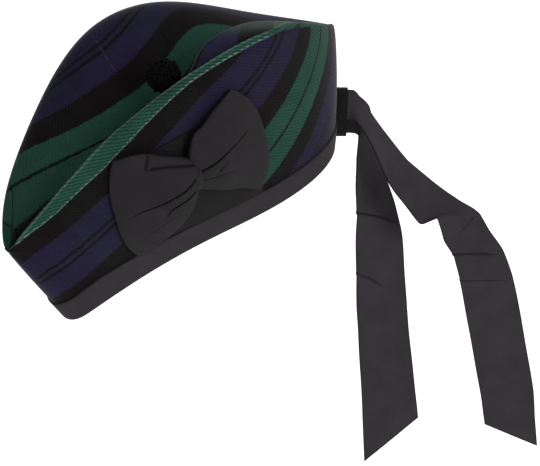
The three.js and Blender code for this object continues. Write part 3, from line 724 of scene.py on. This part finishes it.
def bow_loop(name, edges, bulge, folds):
    """One loop: ruled between its two edges, its end bowed out, puffed between the knot and the end, with
    folds."""
    rows = smooth_rows(edges, LOOP_ROWS)[:, None, :]
    k = np.linspace(0, 1, LOOP_ROWS)[:, None]
    v = np.linspace(-1, 1, LOOP_COLS)[None, :]
    u = (v + 1) / 2
    a = rows[..., 2] + (rows[..., 0] - rows[..., 2]) * u + bulge * k**BULGE_POWER * (1 - np.abs(v) ** 3)
    b = rows[..., 3] + (rows[..., 1] - rows[..., 3]) * u
    swell = np.sin(math.pi * np.minimum(k, 0.9999) ** PUFF_LEAN) ** PUFF_FULLNESS
    puff = BOW_PUFF * swell * (1 - PUFF_FALL * v**2)
    ends = between(k, *FOLDS_ALONG) * (1 - smooth_step(np.abs(v), *FOLDS_ACROSS))
    rise, crease = fold_height(a, b, folds)
    height = LOOP_REST + LOOP_PINCH * (1 - k) + puff + ends * rise
    selvedge = (1 - np.abs(v)) * np.linalg.norm(rows[..., :2] - rows[..., 2:], axis=-1) / 2
    return bow_sheet(name, a, b, np.maximum(height, LOOP_REST), selvedge + 0 * a, crease)


back_steps = np.linspace(-BOW_BACK_REACH, BOW_BACK_REACH, 80)
back_a, back_v = np.meshgrid(back_steps, np.linspace(0, 1, 60), indexing="ij")
back_low = BOW_BACK_LOW + BOW_BACK_SLANT * back_a
back_b = back_low + (BOW_BACK_HIGH - back_low) * back_v
back_edge = np.minimum(back_b - back_low, BOW_BACK_HIGH - back_b)
bow_back = bow_sheet("ribbon_bow_back", back_a, back_b, np.full_like(back_a, GAP + RIBBON), back_edge)
bow_loop_front = bow_loop("ribbon_bow_loop_front", LOOP_FRONT_EDGES, FRONT_BULGE, FRONT_FOLDS)
bow_loop_rear = bow_loop("ribbon_bow_loop_rear", LOOP_REAR_EDGES, REAR_BULGE, REAR_FOLDS)
knot_a, knot_b = np.meshgrid(np.linspace(-1, 1, 40), np.linspace(-1, 1, 50), indexing="ij")
knot_h = LOOP_REST + KNOT_LIFT + KNOT_RISE * np.sqrt(np.maximum((1 - knot_a**2) * (1 - knot_b**4), 0))
bow_knot = bow_sheet("ribbon_bow_knot", KNOT_A + KNOT_HALF * knot_a, KNOT_B + KNOT_TALL * knot_b, knot_h,
                     KNOT_HALF * (1 - np.abs(knot_a)))

# %% [markdown]
# The toorie is a pompom of looped black yarn. Its loops are short bent tubes set all over a round head.

# %% Toorie
TOORIE_HEAD = 9.5
# mm: a loop's least and greatest width and rise, how deep it stands in the head, and half its thickness
YARN_WIDE, YARN_RISE, YARN_SINK, YARN_HALF = (3.0, 4.6), (2.5, 5.0), 1.5, 0.75
YARN_LEAN, YARN_TILT, YARN_TURN, YARN_LOOPS, YARN_SEED = 0.45, 0.3, (-0.15, 1.15), 520, 7
TOORIE_SHIFT = np.array([0.002, 0.001, 0.0015])
low, high = (np.array(corner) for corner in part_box("toorie"))
TOORIE_MIDDLE = (low + high) / 2 + TOORIE_SHIFT


def yarn_ball(name, middle, head, loops, seed):
    """Loops of yarn: half circles of tube standing on the head, spread by the golden angle and turned at
    random."""
    rng = np.random.default_rng(seed)
    i = np.arange(loops)
    z = 1 - (2 * i + 1) / loops
    flat, turn = np.sqrt(1 - z**2), i * math.pi * (3 - math.sqrt(5))
    out = np.stack([flat * np.cos(turn), flat * np.sin(turn), z], axis=-1)
    side = unit(np.cross(out, unit(rng.normal(size=(loops, 3)))))
    lean = unit(out + YARN_LEAN * rng.normal(size=(loops, 3)))
    size = rng.uniform(*YARN_WIDE, loops)
    rise = rng.uniform(*YARN_RISE, loops)
    t = np.linspace(*YARN_TURN, 9) * math.pi
    base = out * (head - YARN_SINK)
    path = (base[:, None] + side[:, None] * (0.5 * size)[:, None, None] * np.cos(t)[None, :, None]
            + lean[:, None] * rise[:, None, None] * np.sin(t)[None, :, None])
    way = unit(np.gradient(path, axis=1))
    normal = unit(np.cross(way, np.broadcast_to(side[:, None], way.shape) + YARN_TILT * lean[:, None]))
    other = np.cross(way, normal)
    a = np.arange(5) / 5 * 2 * math.pi
    ring = normal[:, :, None] * np.cos(a)[:, None] + other[:, :, None] * np.sin(a)[:, None]
    tube = path[:, :, None] + YARN_HALF * ring
    number = np.arange(tube[..., 0].size).reshape(tube.shape[:3])
    onward, beside = number[:, 1:], np.roll(number, -1, axis=2)
    faces = quads(number[:, :-1], onward, beside[:, 1:], beside[:, :-1])
    points = middle + (tube * MM).reshape(-1, 3)
    print(name, "has", loops, "loops")
    return points, faces


def round_head(head, rows=24, cols=36):
    """A ball under the loops: rings of latitude."""
    down, around = np.linspace(0.02, 0.98, rows) * math.pi, np.arange(cols) / cols * 2 * math.pi
    u, v = np.meshgrid(down, around, indexing="ij")
    points = head * np.stack([np.sin(u) * np.cos(v), np.sin(u) * np.sin(v), np.cos(u)], axis=-1)
    number = np.arange(rows * cols).reshape(rows, cols)
    beside = np.roll(number, -1, axis=1)
    return points.reshape(-1, 3), quads(number[:-1], number[1:], beside[1:], beside[:-1])


loop_points, loop_quads = yarn_ball("toorie", TOORIE_MIDDLE, TOORIE_HEAD, YARN_LOOPS, YARN_SEED)
head_points, head_quads = round_head(TOORIE_HEAD)
toorie = new_piece("wool_toorie", np.concatenate([loop_points, TOORIE_MIDDLE + head_points * MM]),
                   np.concatenate([loop_quads, head_quads + len(loop_points)]))

# %% [markdown]
# The tails are two lengths of ribbon, 40 mm wide, that leave a keeper at the rear of the band, fold and
# hang. A simulation would not fall into the photographed folds, so each edge of the ribbon follows a
# short list of points and the cloth is ruled between them.

# %% Tails
TAIL_ROOT = np.array([130.0, 0.0, 78.0])
TAIL_TURN = math.radians(-36)
# along, height and toward of one edge, then of the other, from the band to the cut end
TAIL_LEFT_ROWS = np.array([
    (0, -20, -3, 0, 14, -3), (19, -20, -3, 19, 12, -3), (25, -22, -1, 34, -2, -16),
    (24, -38, 2, 42, -30, -24), (24, -52, 3, 48, -54, -26), (25, -76, 2, 58, -79, -18),
    (26, -98, 0, 63, -100, -12), (27, -125, 0, 66, -127, -9), (29, -158, 0, 69, -159, -6),
    (32, -190, 0, 73, -191, -3), (36, -232, 0, 78, -226, 0), (40, -283, 0, 81, -247, 0),
], dtype=float)
TAIL_RIGHT_ROWS = np.array([
    (4.2, -14, 3, 4.2, 14, 3), (16, -9, 3, 19.5, 14, 3), (22, -9, 8, 27, 5, 0), (30, -20, 15, 40, -13, -6),
    (37, -34, 19, 52, -28, -6), (44, -49, 21, 64, -42, -6), (53, -62, 22, 77, -53, -7),
    (71, -84, 20, 104, -72, -3), (84, -80, 18, 120, -82, -2), (91, -99, 16, 129, -95, 1),
    (99, -111, 14, 139, -109, 4), (104, -126, 12, 147, -128, 6), (110, -148, 8, 152, -146, 8),
    (127, -222, 8, 169, -220, 8), (130.5, -240, 8, 172, -245, 8), (132.5, -250, 8, 175, -268, 8),
], dtype=float)


def tail_to_row(along, toward, height):
    """The tails' own frame in mm to the shared frame in metres: turned about Z and set at the root."""
    c, s = math.cos(TAIL_TURN), math.sin(TAIL_TURN)
    y = -toward
    return (TAIL_ROOT + np.stack([along * c - y * s, along * s + y * c, height], axis=-1)) * MM


# line in mm across and along the ribbon, side that is raised, rise, reach, groove
TAIL_LEFT_FOLDS = [
    ([(0, 106), (20, 110), (40, 117)], 1, 1.2, 14, 0.8),
    ([(0, 154), (12, 159), (26, 168)], 1, 0.9, 14, 0.7),
]
TAIL_RIGHT_FOLDS = [
    ([(31, 140), (22, 146), (11, 152)], 1, 1.0, 12, 0.8),
    ([(0, 170), (18, 172), (40, 175)], 1, 1.4, 10, 1.0),
    ([(0, 193), (20, 193), (42, 193)], -1, 1.2, 10, 0.9),
]
# TAIL_CREASE_SHADE: the share of a crease's painted shade that shows on the tails
TAIL_EASE, TAIL_CREASE_SHADE, TAIL_ROWS, TAIL_COLS = 0.55, 0.5, 400, 61
TAIL_WAVE, TAIL_WAVE_LENGTH, TAIL_WAVE_SLANT, TAIL_WAVE_STEP = 0.5, 47.0, 3, (60.0, 100.0)


def tail(name, rows, folds):
    """A ribbon ruled between its two edges, creased along its fold lines, half its thickness to each
    side."""
    edges = smooth_rows(rows, TAIL_ROWS, TAIL_EASE)[:, None, :]
    v = np.linspace(0, 1, TAIL_COLS)[None, :]
    along, height, toward = (edges[..., n] + (edges[..., n + 3] - edges[..., n]) * v for n in range(3))
    middle = tail_to_row(along, toward, height)
    across, length = lengths_along(middle, 1) / MM, lengths_along(middle, 0) / MM
    place = length[:, [TAIL_COLS // 2]] + 0 * across
    rise, crease = fold_height(across, place, folds)
    turn = place / TAIL_WAVE_LENGTH * 2 * math.pi + TAIL_WAVE_SLANT * v
    wave = TAIL_WAVE * np.sin(turn) * smooth_step(place, *TAIL_WAVE_STEP)
    normal = grid_normal(middle)
    middle = middle + normal * ((rise + wave) * MM)[..., None]
    off = grid_normal(middle) * RIBBON / 2 * MM
    selvedge = np.minimum(across, across[:, -1:] - across)
    edge = np.minimum(selvedge, place[-1:] - place)
    threads = np.stack([across, length], axis=-1)
    return cloth_sheet(name, middle + off, middle - off, threads, edge=edge, crease=TAIL_CREASE_SHADE * crease)


tail_left = tail("ribbon_tail_left", TAIL_LEFT_ROWS, TAIL_LEFT_FOLDS)
tail_right = tail("ribbon_tail_right", TAIL_RIGHT_ROWS, TAIL_RIGHT_FOLDS)

# %% [markdown]
# A short wrap of the same ribbon gathers both tails where they leave the band.

# %% Tail knot
KEEPER_FROM, KEEPER_TO, KEEPER_DEEP, KEEPER_ROWS, KEEPER_COLS = 7.0, 15.0, 3.8, 72, 9
KEEPER_LOW, KEEPER_HIGH, KEEPER_WALL, KEEPER_ROUND = -21.0, 14.6, 0.8, 3.4


def keeper():
    """A rounded oblong section stepped by angle, carried a short way along and closed to a ring."""
    angle = ((np.arange(KEEPER_ROWS) + 0.5) / KEEPER_ROWS * 2 * math.pi)[:, None]
    end = np.where(np.sin(angle) > 0, KEEPER_HIGH - KEEPER_ROUND, KEEPER_LOW + KEEPER_ROUND)
    share = np.linspace(0, 1, KEEPER_COLS)[None, :]
    along = np.concatenate([KEEPER_FROM + (KEEPER_TO - KEEPER_FROM) * share,
                            KEEPER_TO + (KEEPER_FROM - KEEPER_TO) * share], axis=1)
    grow = np.concatenate([KEEPER_WALL + 0 * share, 0 * share], axis=1)
    toward = -np.sign(np.cos(angle)) * (KEEPER_DEEP - KEEPER_ROUND) - (KEEPER_ROUND + grow) * np.cos(angle)
    height = end + (KEEPER_ROUND + grow) * np.sin(angle)
    points = tail_to_row(along + 0 * toward, toward, height)
    threads = np.stack([along + 0 * toward, lengths_along(points, 0) / MM], axis=-1)
    edge = np.minimum(along - KEEPER_FROM, KEEPER_TO - along) + 0 * toward
    return new_piece("ribbon_tail_knot", points, loop_faces(*points.shape[:2]), threads, edge=edge)


tail_knot = keeper()

# %% [markdown]
# A material is a small graph of nodes. These helpers add a node, set its sockets and link them, so that
# each finish below reads as a list of steps.

# %% Node helpers
def add_node(tree, kind, inputs=None, **settings):
    """A node of a kind with its settings, and its input sockets linked or given a value."""
    node = tree.nodes.new(kind)
    for key, value in settings.items():
        setattr(node, key, value)
    for key, value in (inputs or {}).items():
        if isinstance(value, bpy.types.NodeSocket):
            tree.links.new(value, node.inputs[key])
        else:
            node.inputs[key].default_value = value
    return node


def maths(tree, operation, *values):
    """The result of one sum on sockets or numbers."""
    return add_node(tree, "ShaderNodeMath", dict(enumerate(values)), operation=operation).outputs[0]


def ramp(tree, factor, stops, interpolation="CONSTANT"):
    """Colours set by position: a list of (start, colour)."""
    node = add_node(tree, "ShaderNodeValToRGB", {"Fac": factor})
    band = node.color_ramp
    band.interpolation = interpolation
    while len(band.elements) < len(stops):
        band.elements.new(1.0)
    for element, (start, colour) in zip(band.elements, stops):
        element.position, element.color = start, (*colour, 1)
    return node.outputs["Color"]


def mixed(tree, factor, a, b, blend="MIX"):
    """Two colours mixed by a factor."""
    node = add_node(tree, "ShaderNodeMix", data_type="RGBA", blend_type=blend)
    for socket, value in ((node.inputs[0], factor), (node.inputs[6], a), (node.inputs[7], b)):
        if isinstance(value, bpy.types.NodeSocket):
            tree.links.new(value, socket)
        else:
            socket.default_value = value
    return node.outputs[2]


def noise(tree, vector, scale, detail=2.0):
    """Grey noise at a scale, about 0.5 on average."""
    sockets = {"Vector": vector, "Scale": scale, "Detail": detail}
    return add_node(tree, "ShaderNodeTexNoise", sockets).outputs["Fac"]


def kept_number(tree, attribute):
    """A number that a piece keeps at its points, 0 where it keeps none."""
    return add_node(tree, "ShaderNodeAttribute", attribute_name=attribute).outputs["Fac"]


def dimmed(tree, colour, share):
    """A colour times a number."""
    grey = add_node(tree, "ShaderNodeCombineColor", {n: share for n in range(3)}).outputs[0]
    return mixed(tree, 1.0, colour, grey, "MULTIPLY")


def fading(tree, attribute, near, far, at_near, at_far):
    """A number that goes smoothly from one value to another as an attribute goes from near to far."""
    value = kept_number(tree, attribute)
    ends = {"Value": value, "From Min": near, "From Max": far, "To Min": at_near, "To Max": at_far}
    return add_node(tree, "ShaderNodeMapRange", ends, interpolation_type="SMOOTHSTEP").outputs["Result"]


def new_finish(name):
    """An empty material: its tree, its shader and its Object coordinates."""
    material = bpy.data.materials.new(name)
    material.use_nodes = True
    tree = material.node_tree
    place = add_node(tree, "ShaderNodeTexCoord").outputs["Object"]
    return material, tree, tree.nodes["Principled BSDF"], place


def dress(tree, shader, colour, height, strength, distance, numbers):
    """Link a colour, and a height as bump, to a shader and set its other numbers."""
    sockets = {"Strength": strength, "Distance": distance, "Height": height}
    bump = add_node(tree, "ShaderNodeBump", sockets)
    tree.links.new(colour, shader.inputs["Base Color"])
    tree.links.new(bump.outputs["Normal"], shader.inputs["Normal"])
    for key, value in numbers.items():
        shader.inputs[key].default_value = value


# %% [markdown]
# The sett is the order of colours across a tartan. The same order runs in the warp and in the weft, and a
# twill weave shows the warp and the weft side by side in fine slanting lines, so where two colours cross
# they mix. An image would have to be painted and stretched; here two colour bands are read along the
# cloth's coordinates.

# %% Tartan
# strength of the bump and its depth in metres
TARTAN_BUMP, RIBBON_BUMP, WOOL_BUMP = (0.6, 0.0004), (0.4, 0.0002), (0.6, 0.0003)
GREEN, NAVY, BLACK = (0.010, 0.041, 0.029), (0.0098, 0.0080, 0.0230), (0.0036, 0.0026, 0.0027)
SETT_STRIPES = [
    (0, BLACK), (15, NAVY), (30, BLACK), (32, NAVY), (34.5, BLACK), (36.5, NAVY), (51, BLACK),
    (66, GREEN), (81, BLACK), (83, GREEN),
]
THREAD = 0.66
WARP_SHARE = 0.9
WEFT_SHOWS = 0.35
# pale colour of the painted highlights, painted sheen and pale thread, their strengths, and where dashes
# show
HIGHLIGHT_AND_THREAD_COLOUR, PALE_SHARE, LIT_STRIP_EDGE_SHARE, TOOTH_SHOWS = (0.10, 0.14, 0.12), 0.32, 0.8, 0.5
# mm from a painted highlight line or the pale thread where it is full and where it has gone
PALE_ENDS, LIT_STRIP_EDGE_ENDS = (0.2, 1.1), (0.3, 1.0)
# scale, detail and amount of noise: threads that stray, soft stripe edges, mottled colour, nap
STRAY, FUZZ, NAP = (260.0, 2.0, 0.9), (1700.0, 1.0, 3.0), (2400.0, 2.0, 0.6)
MOTTLES, MOTTLE_BASE = ((1500.0, 3.0, 0.8), (420.0, 2.0, 0.4), (38.0, 2.0, 0.5)), 0.25


def sett_colour(tree, length):
    """The sett's colour at a length in mm: its share of one repeat looked up in the stripes."""
    share = maths(tree, "FRACT", maths(tree, "DIVIDE", length, SETT))
    return ramp(tree, share, [(start / SETT, colour) for start, colour in SETT_STRIPES])


def tartan_finish():
    """Warp and weft colours picked by a twill of four threads, with bump from the same lines."""
    material, tree, shader, place = new_finish("tartan")
    threads = add_node(tree, "ShaderNodeUVMap", uv_map="threads").outputs["UV"]
    lengths = add_node(tree, "ShaderNodeSeparateXYZ", {0: threads})
    stray, fuzz = (maths(tree, "SUBTRACT", noise(tree, place, *kind[:2]), 0.5) for kind in (STRAY, FUZZ))
    across = maths(tree, "MULTIPLY_ADD", stray, STRAY[2], lengths.outputs["X"])
    soft = maths(tree, "MULTIPLY_ADD", fuzz, FUZZ[2], across)
    along = maths(tree, "MULTIPLY_ADD", stray, -STRAY[2], lengths.outputs["Y"])
    slant = maths(tree, "SUBTRACT", along, across)
    lines = maths(tree, "FRACT", maths(tree, "DIVIDE", slant, 4 * THREAD))
    tooth = maths(tree, "MULTIPLY", maths(tree, "PINGPONG", lines, 0.5), 2.0)
    on_top = maths(tree, "LESS_THAN", lines, WARP_SHARE)
    under = maths(tree, "MULTIPLY", maths(tree, "SUBTRACT", 1.0, on_top), WEFT_SHOWS)
    colour = mixed(tree, under, sett_colour(tree, soft), sett_colour(tree, along))
    # painted highlights and painted sheen, together with the pale thread, mix the colour toward a pale
    # colour
    pale = fading(tree, "pale", *PALE_ENDS, PALE_SHARE, 0.0)
    teeth = maths(tree, "GREATER_THAN", tooth, TOOTH_SHOWS)
    lit_strip_edge = maths(tree, "MULTIPLY", fading(tree, "lit_strip_edge", *LIT_STRIP_EDGE_ENDS, LIT_STRIP_EDGE_SHARE, 0.0), teeth)
    highlights_and_thread = maths(tree, "MAXIMUM", maths(tree, "MAXIMUM", pale, lit_strip_edge), kept_number(tree, "painted_sheen"))
    colour = mixed(tree, highlights_and_thread, colour, (*HIGHLIGHT_AND_THREAD_COLOUR, 1))
    relief = maths(tree, "MULTIPLY", kept_number(tree, "twill"), maths(tree, "SUBTRACT", tooth, 0.5))
    fibre = maths(tree, "ADD", relief, MOTTLE_BASE)
    for scale, detail, amount in MOTTLES:
        fibre = maths(tree, "MULTIPLY_ADD", noise(tree, place, scale, detail), amount, fibre)
    # painted shade: the valley and the tuck, and the dark dome seam, dim the colour through the kept shade
    # number
    colour = dimmed(tree, colour, maths(tree, "MULTIPLY", fibre, kept_number(tree, "shade")))
    height = maths(tree, "MULTIPLY_ADD", noise(tree, place, *NAP[:2]), NAP[2], relief)
    numbers = {"Roughness": 0.9, "Sheen Weight": 0.2, "Sheen Roughness": 0.35, "Specular IOR Level": 0.06}
    dress(tree, shader, colour, height, *TARTAN_BUMP, numbers)
    return material


TARTAN = tartan_finish()

# %% [markdown]
# The ribbon is a dull black tape with fine cross ribs. The yarn of the toorie is matte black wool.

# %% Ribbon and wool
RIB = 0.55
# painted shade: mm from the edge where it is darkest and where it has gone, its depth at the edge, and in
# creases
EDGE_SHADE_ENDS, EDGE_SHADE_LEVEL, CREASE_DARK = (0.1, 1.1), 0.25, 0.93
CHARCOAL = np.array([(0.018, 0.0155, 0.018), (0.031, 0.027, 0.031)])
STITCH_IN, STITCH_WIDE, STITCH_EVERY, STITCH_SHARE, STITCH_DARK = 1.7, 0.3, 3.2, 0.62, 0.55
# scale and detail of noise: fine grain and slow changes of shade, each half of the shade, and wool fibre
GRAIN, SLOW, FIBRE = (1800.0, 3.0), (60.0, 2.0), (1200.0, 3.0)
# black for the painted shade in creases and for the stitches
GRAIN_HEIGHT, CREASE_SHADE_AND_STITCH_BLACK = 0.6, (0, 0, 0, 1)
WOOL_STOPS = [(0.3, (0.0015, 0.0015, 0.0015)), (0.8, (0.005, 0.0046, 0.0046))]


def ribbon_finish(name, share, stitched=False):
    """A share of charcoal with ribs along the ribbon's length, broken by fine noise, and slow shade
    changes; a share below one gives a darker copy as painted shade. Its edges and creases are darkened as
    painted shade, and a row of stitches may run beside its edge."""
    material, tree, shader, place = new_finish(name)
    threads = add_node(tree, "ShaderNodeUVMap", uv_map="threads").outputs["UV"]
    lengths = add_node(tree, "ShaderNodeSeparateXYZ", {0: threads})
    ribs = maths(tree, "PINGPONG", maths(tree, "DIVIDE", lengths.outputs["Y"], RIB), 0.5)
    grain = noise(tree, place, *GRAIN)
    slow = noise(tree, place, *SLOW)
    shade = maths(tree, "ADD", maths(tree, "MULTIPLY", grain, 0.5), maths(tree, "MULTIPLY", slow, 0.5))
    colour = ramp(tree, shade, [(0.3, share * CHARCOAL[0]), (0.7, share * CHARCOAL[1])], "LINEAR")
    # painted shade: darker towards each edge of the ribbon and black in its creases
    colour = dimmed(tree, colour, fading(tree, "edge", *EDGE_SHADE_ENDS, EDGE_SHADE_LEVEL, 1.0))
    crease = kept_number(tree, "crease")
    colour = mixed(tree, maths(tree, "MULTIPLY", crease, CREASE_DARK), colour, CREASE_SHADE_AND_STITCH_BLACK)
    height = maths(tree, "MULTIPLY_ADD", grain, GRAIN_HEIGHT, ribs)
    if stitched:
        off_row = maths(tree, "SUBTRACT", kept_number(tree, "edge"), STITCH_IN)
        beside = maths(tree, "LESS_THAN", maths(tree, "ABSOLUTE", off_row), STITCH_WIDE)
        turn = maths(tree, "FRACT", maths(tree, "DIVIDE", lengths.outputs["Y"], STITCH_EVERY))
        stitch = maths(tree, "MULTIPLY", beside, maths(tree, "LESS_THAN", turn, STITCH_SHARE))
        colour = mixed(tree, maths(tree, "MULTIPLY", stitch, STITCH_DARK), colour, CREASE_SHADE_AND_STITCH_BLACK)
        height = maths(tree, "SUBTRACT", height, stitch)
    numbers = {"Roughness": 0.8, "Sheen Weight": 0.02, "Specular IOR Level": 0.15}
    dress(tree, shader, colour, height, *RIBBON_BUMP, numbers)
    return material


def wool_finish():
    """Near-black wool with a little fibre noise."""
    material, tree, shader, place = new_finish("wool")
    fibre = noise(tree, place, *FIBRE)
    colour = ramp(tree, fibre, WOOL_STOPS, "LINEAR")
    dress(tree, shader, colour, fibre, *WOOL_BUMP, {"Roughness": 0.95, "Specular IOR Level": 0.1})
    return material


# the binding, the bow, its back and the tail knot take darker copies of the one ribbon, as painted shade
TAIL_RIBBON = ribbon_finish("ribbon", 1.0)
SHADED_BINDING_RIBBON = ribbon_finish("binding_ribbon_shaded", 0.74, stitched=True)
SHADED_BOW_RIBBON = ribbon_finish("bow_ribbon_shaded", 0.42)
DEEP_SHADED_RIBBON = ribbon_finish("bow_back_ribbon_deep_shaded", 0.18)
WOOL = wool_finish()

# %% [markdown]
# The cap is one soft body with no joint. Each piece rides on it, replaces the plain solid of its name and
# takes its finish.

# %% Every piece rides on the one body and replaces its solid
PIECES = {
    "side_left": (side_left, "tartan", TARTAN), "side_right": (side_right, "tartan", TARTAN),
    "crown": (crown, "tartan", TARTAN), "edge_binding": (edge_binding, "ribbon", SHADED_BINDING_RIBBON),
    "bow_back": (bow_back, "ribbon", DEEP_SHADED_RIBBON), "bow_loop_front": (bow_loop_front, "ribbon", SHADED_BOW_RIBBON),
    "bow_loop_rear": (bow_loop_rear, "ribbon", SHADED_BOW_RIBBON), "bow_knot": (bow_knot, "ribbon", SHADED_BOW_RIBBON),
    "toorie": (toorie, "wool", WOOL), "tail_knot": (tail_knot, "ribbon", DEEP_SHADED_RIBBON),
    "tail_left": (tail_left, "ribbon", TAIL_RIBBON), "tail_right": (tail_right, "ribbon", TAIL_RIBBON),
}
for node, (piece, slot, finish) in PIECES.items():
    piece.data.materials.append(finish)
    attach(piece, "root")
    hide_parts(node)


# %% [markdown]
# The photograph has a white ground with no shadow on it. A floor lit only by lamps would carry a shadow,
# so this floor glows a little of itself, as a lit paper sweep does.

# %% Studio
FLOOR_DROP, WORLD_LIGHT, PAPER_GLOW, PAPER_GRAIN = 0.12, 0.18, 0.8, 8.0
PAPER_STOPS = [(0.3, (0.5, 0.5, 0.5)), (0.7, (0.54, 0.54, 0.54))]
# metres: the floor's two ends, the radius of the curve, the wall's top and half the width
FLOOR_NEAR, FLOOR_FAR, SWEEP_CURVE, WALL_TOP, SWEEP_HALF = -2.5, 3, 1.2, 5, 5
# place and power of each lamp; all have one size and are turned to one point
LAMPS = {
    "key": ((0.1, -2.2, 0.9), 28), "front": ((-2.0, -0.9, 0.7), 12),
    "top": ((0.7, -0.3, 1.9), 12), "rim": ((1.2, 1.6, 1.2), 16),
}
LAMP_TARGET, LAMP_SIZE = (0, 0, 0.05), 1.0


def studio_white():
    """A pale paper that gives off most of its light itself, with a little grain."""
    material, tree, shader, place = new_finish("studio_white")
    colour = ramp(tree, noise(tree, place, PAPER_GRAIN), PAPER_STOPS, "LINEAR")
    tree.links.new(colour, shader.inputs["Base Color"])
    shader.inputs["Roughness"].default_value = 0.9
    shader.inputs["Emission Color"].default_value = (1, 1, 1, 1)
    shader.inputs["Emission Strength"].default_value = PAPER_GLOW
    return material


def sweep():
    """A pale floor that curves up into a backdrop: a profile of floor, quarter circle and wall, carried
    sideways."""
    turn = np.linspace(0, math.pi / 2, 24)
    reach = np.concatenate([[FLOOR_NEAR], FLOOR_FAR + SWEEP_CURVE * np.sin(turn), [FLOOR_FAR + SWEEP_CURVE]])
    height = np.concatenate([[0], SWEEP_CURVE - SWEEP_CURVE * np.cos(turn), [WALL_TOP]])
    height = height + CAD_BOX[0][2] - FLOOR_DROP
    side = np.linspace(-SWEEP_HALF, SWEEP_HALF, 3)[None, :]
    away = -np.array(back_way[:2]) / np.linalg.norm(back_way[:2])
    points = np.stack([reach[:, None] * away[0] - side * away[1], reach[:, None] * away[1] + side * away[0],
                       height[:, None] + 0 * side], axis=-1)
    number = np.arange(points[..., 0].size).reshape(points.shape[:2])
    faces = quads(number[:-1, :-1], number[:-1, 1:], number[1:, 1:], number[1:, :-1])
    piece = new_piece("studio_sweep", points, faces)
    piece.data.materials.append(studio_white())
    return piece


sweep()


def softbox(name, place, power):
    """A square area light turned towards the cap."""
    light = bpy.data.lights.new(name, "AREA")
    light.size, light.energy = LAMP_SIZE, power
    lamp = bpy.data.objects.new(name, light)
    lamp.location = place
    lamp.rotation_euler = (Vector(LAMP_TARGET) - Vector(place)).to_track_quat("-Z", "Y").to_euler()
    bpy.context.collection.objects.link(lamp)


for lamp_name, (lamp_place, lamp_power) in LAMPS.items():
    softbox(lamp_name, lamp_place, lamp_power)
# the camera sees the world white, and as a light it is dim
world = bpy.data.worlds.new("studio")
bpy.context.scene.world = world
world.use_nodes = True
world.node_tree.nodes["Background"].inputs["Color"].default_value = (1, 1, 1, 1)
seen = add_node(world.node_tree, "ShaderNodeLightPath").outputs["Is Camera Ray"]
strength = maths(world.node_tree, "MULTIPLY_ADD", seen, 1 - WORLD_LIGHT, WORLD_LIGHT)
world.node_tree.links.new(strength, world.node_tree.nodes["Background"].inputs["Strength"])
bpy.context.scene.view_settings.view_transform = "Standard"

# %% [markdown]
# Last, the view layer is updated.

# %% Update the view layer
bpy.context.view_layer.update()
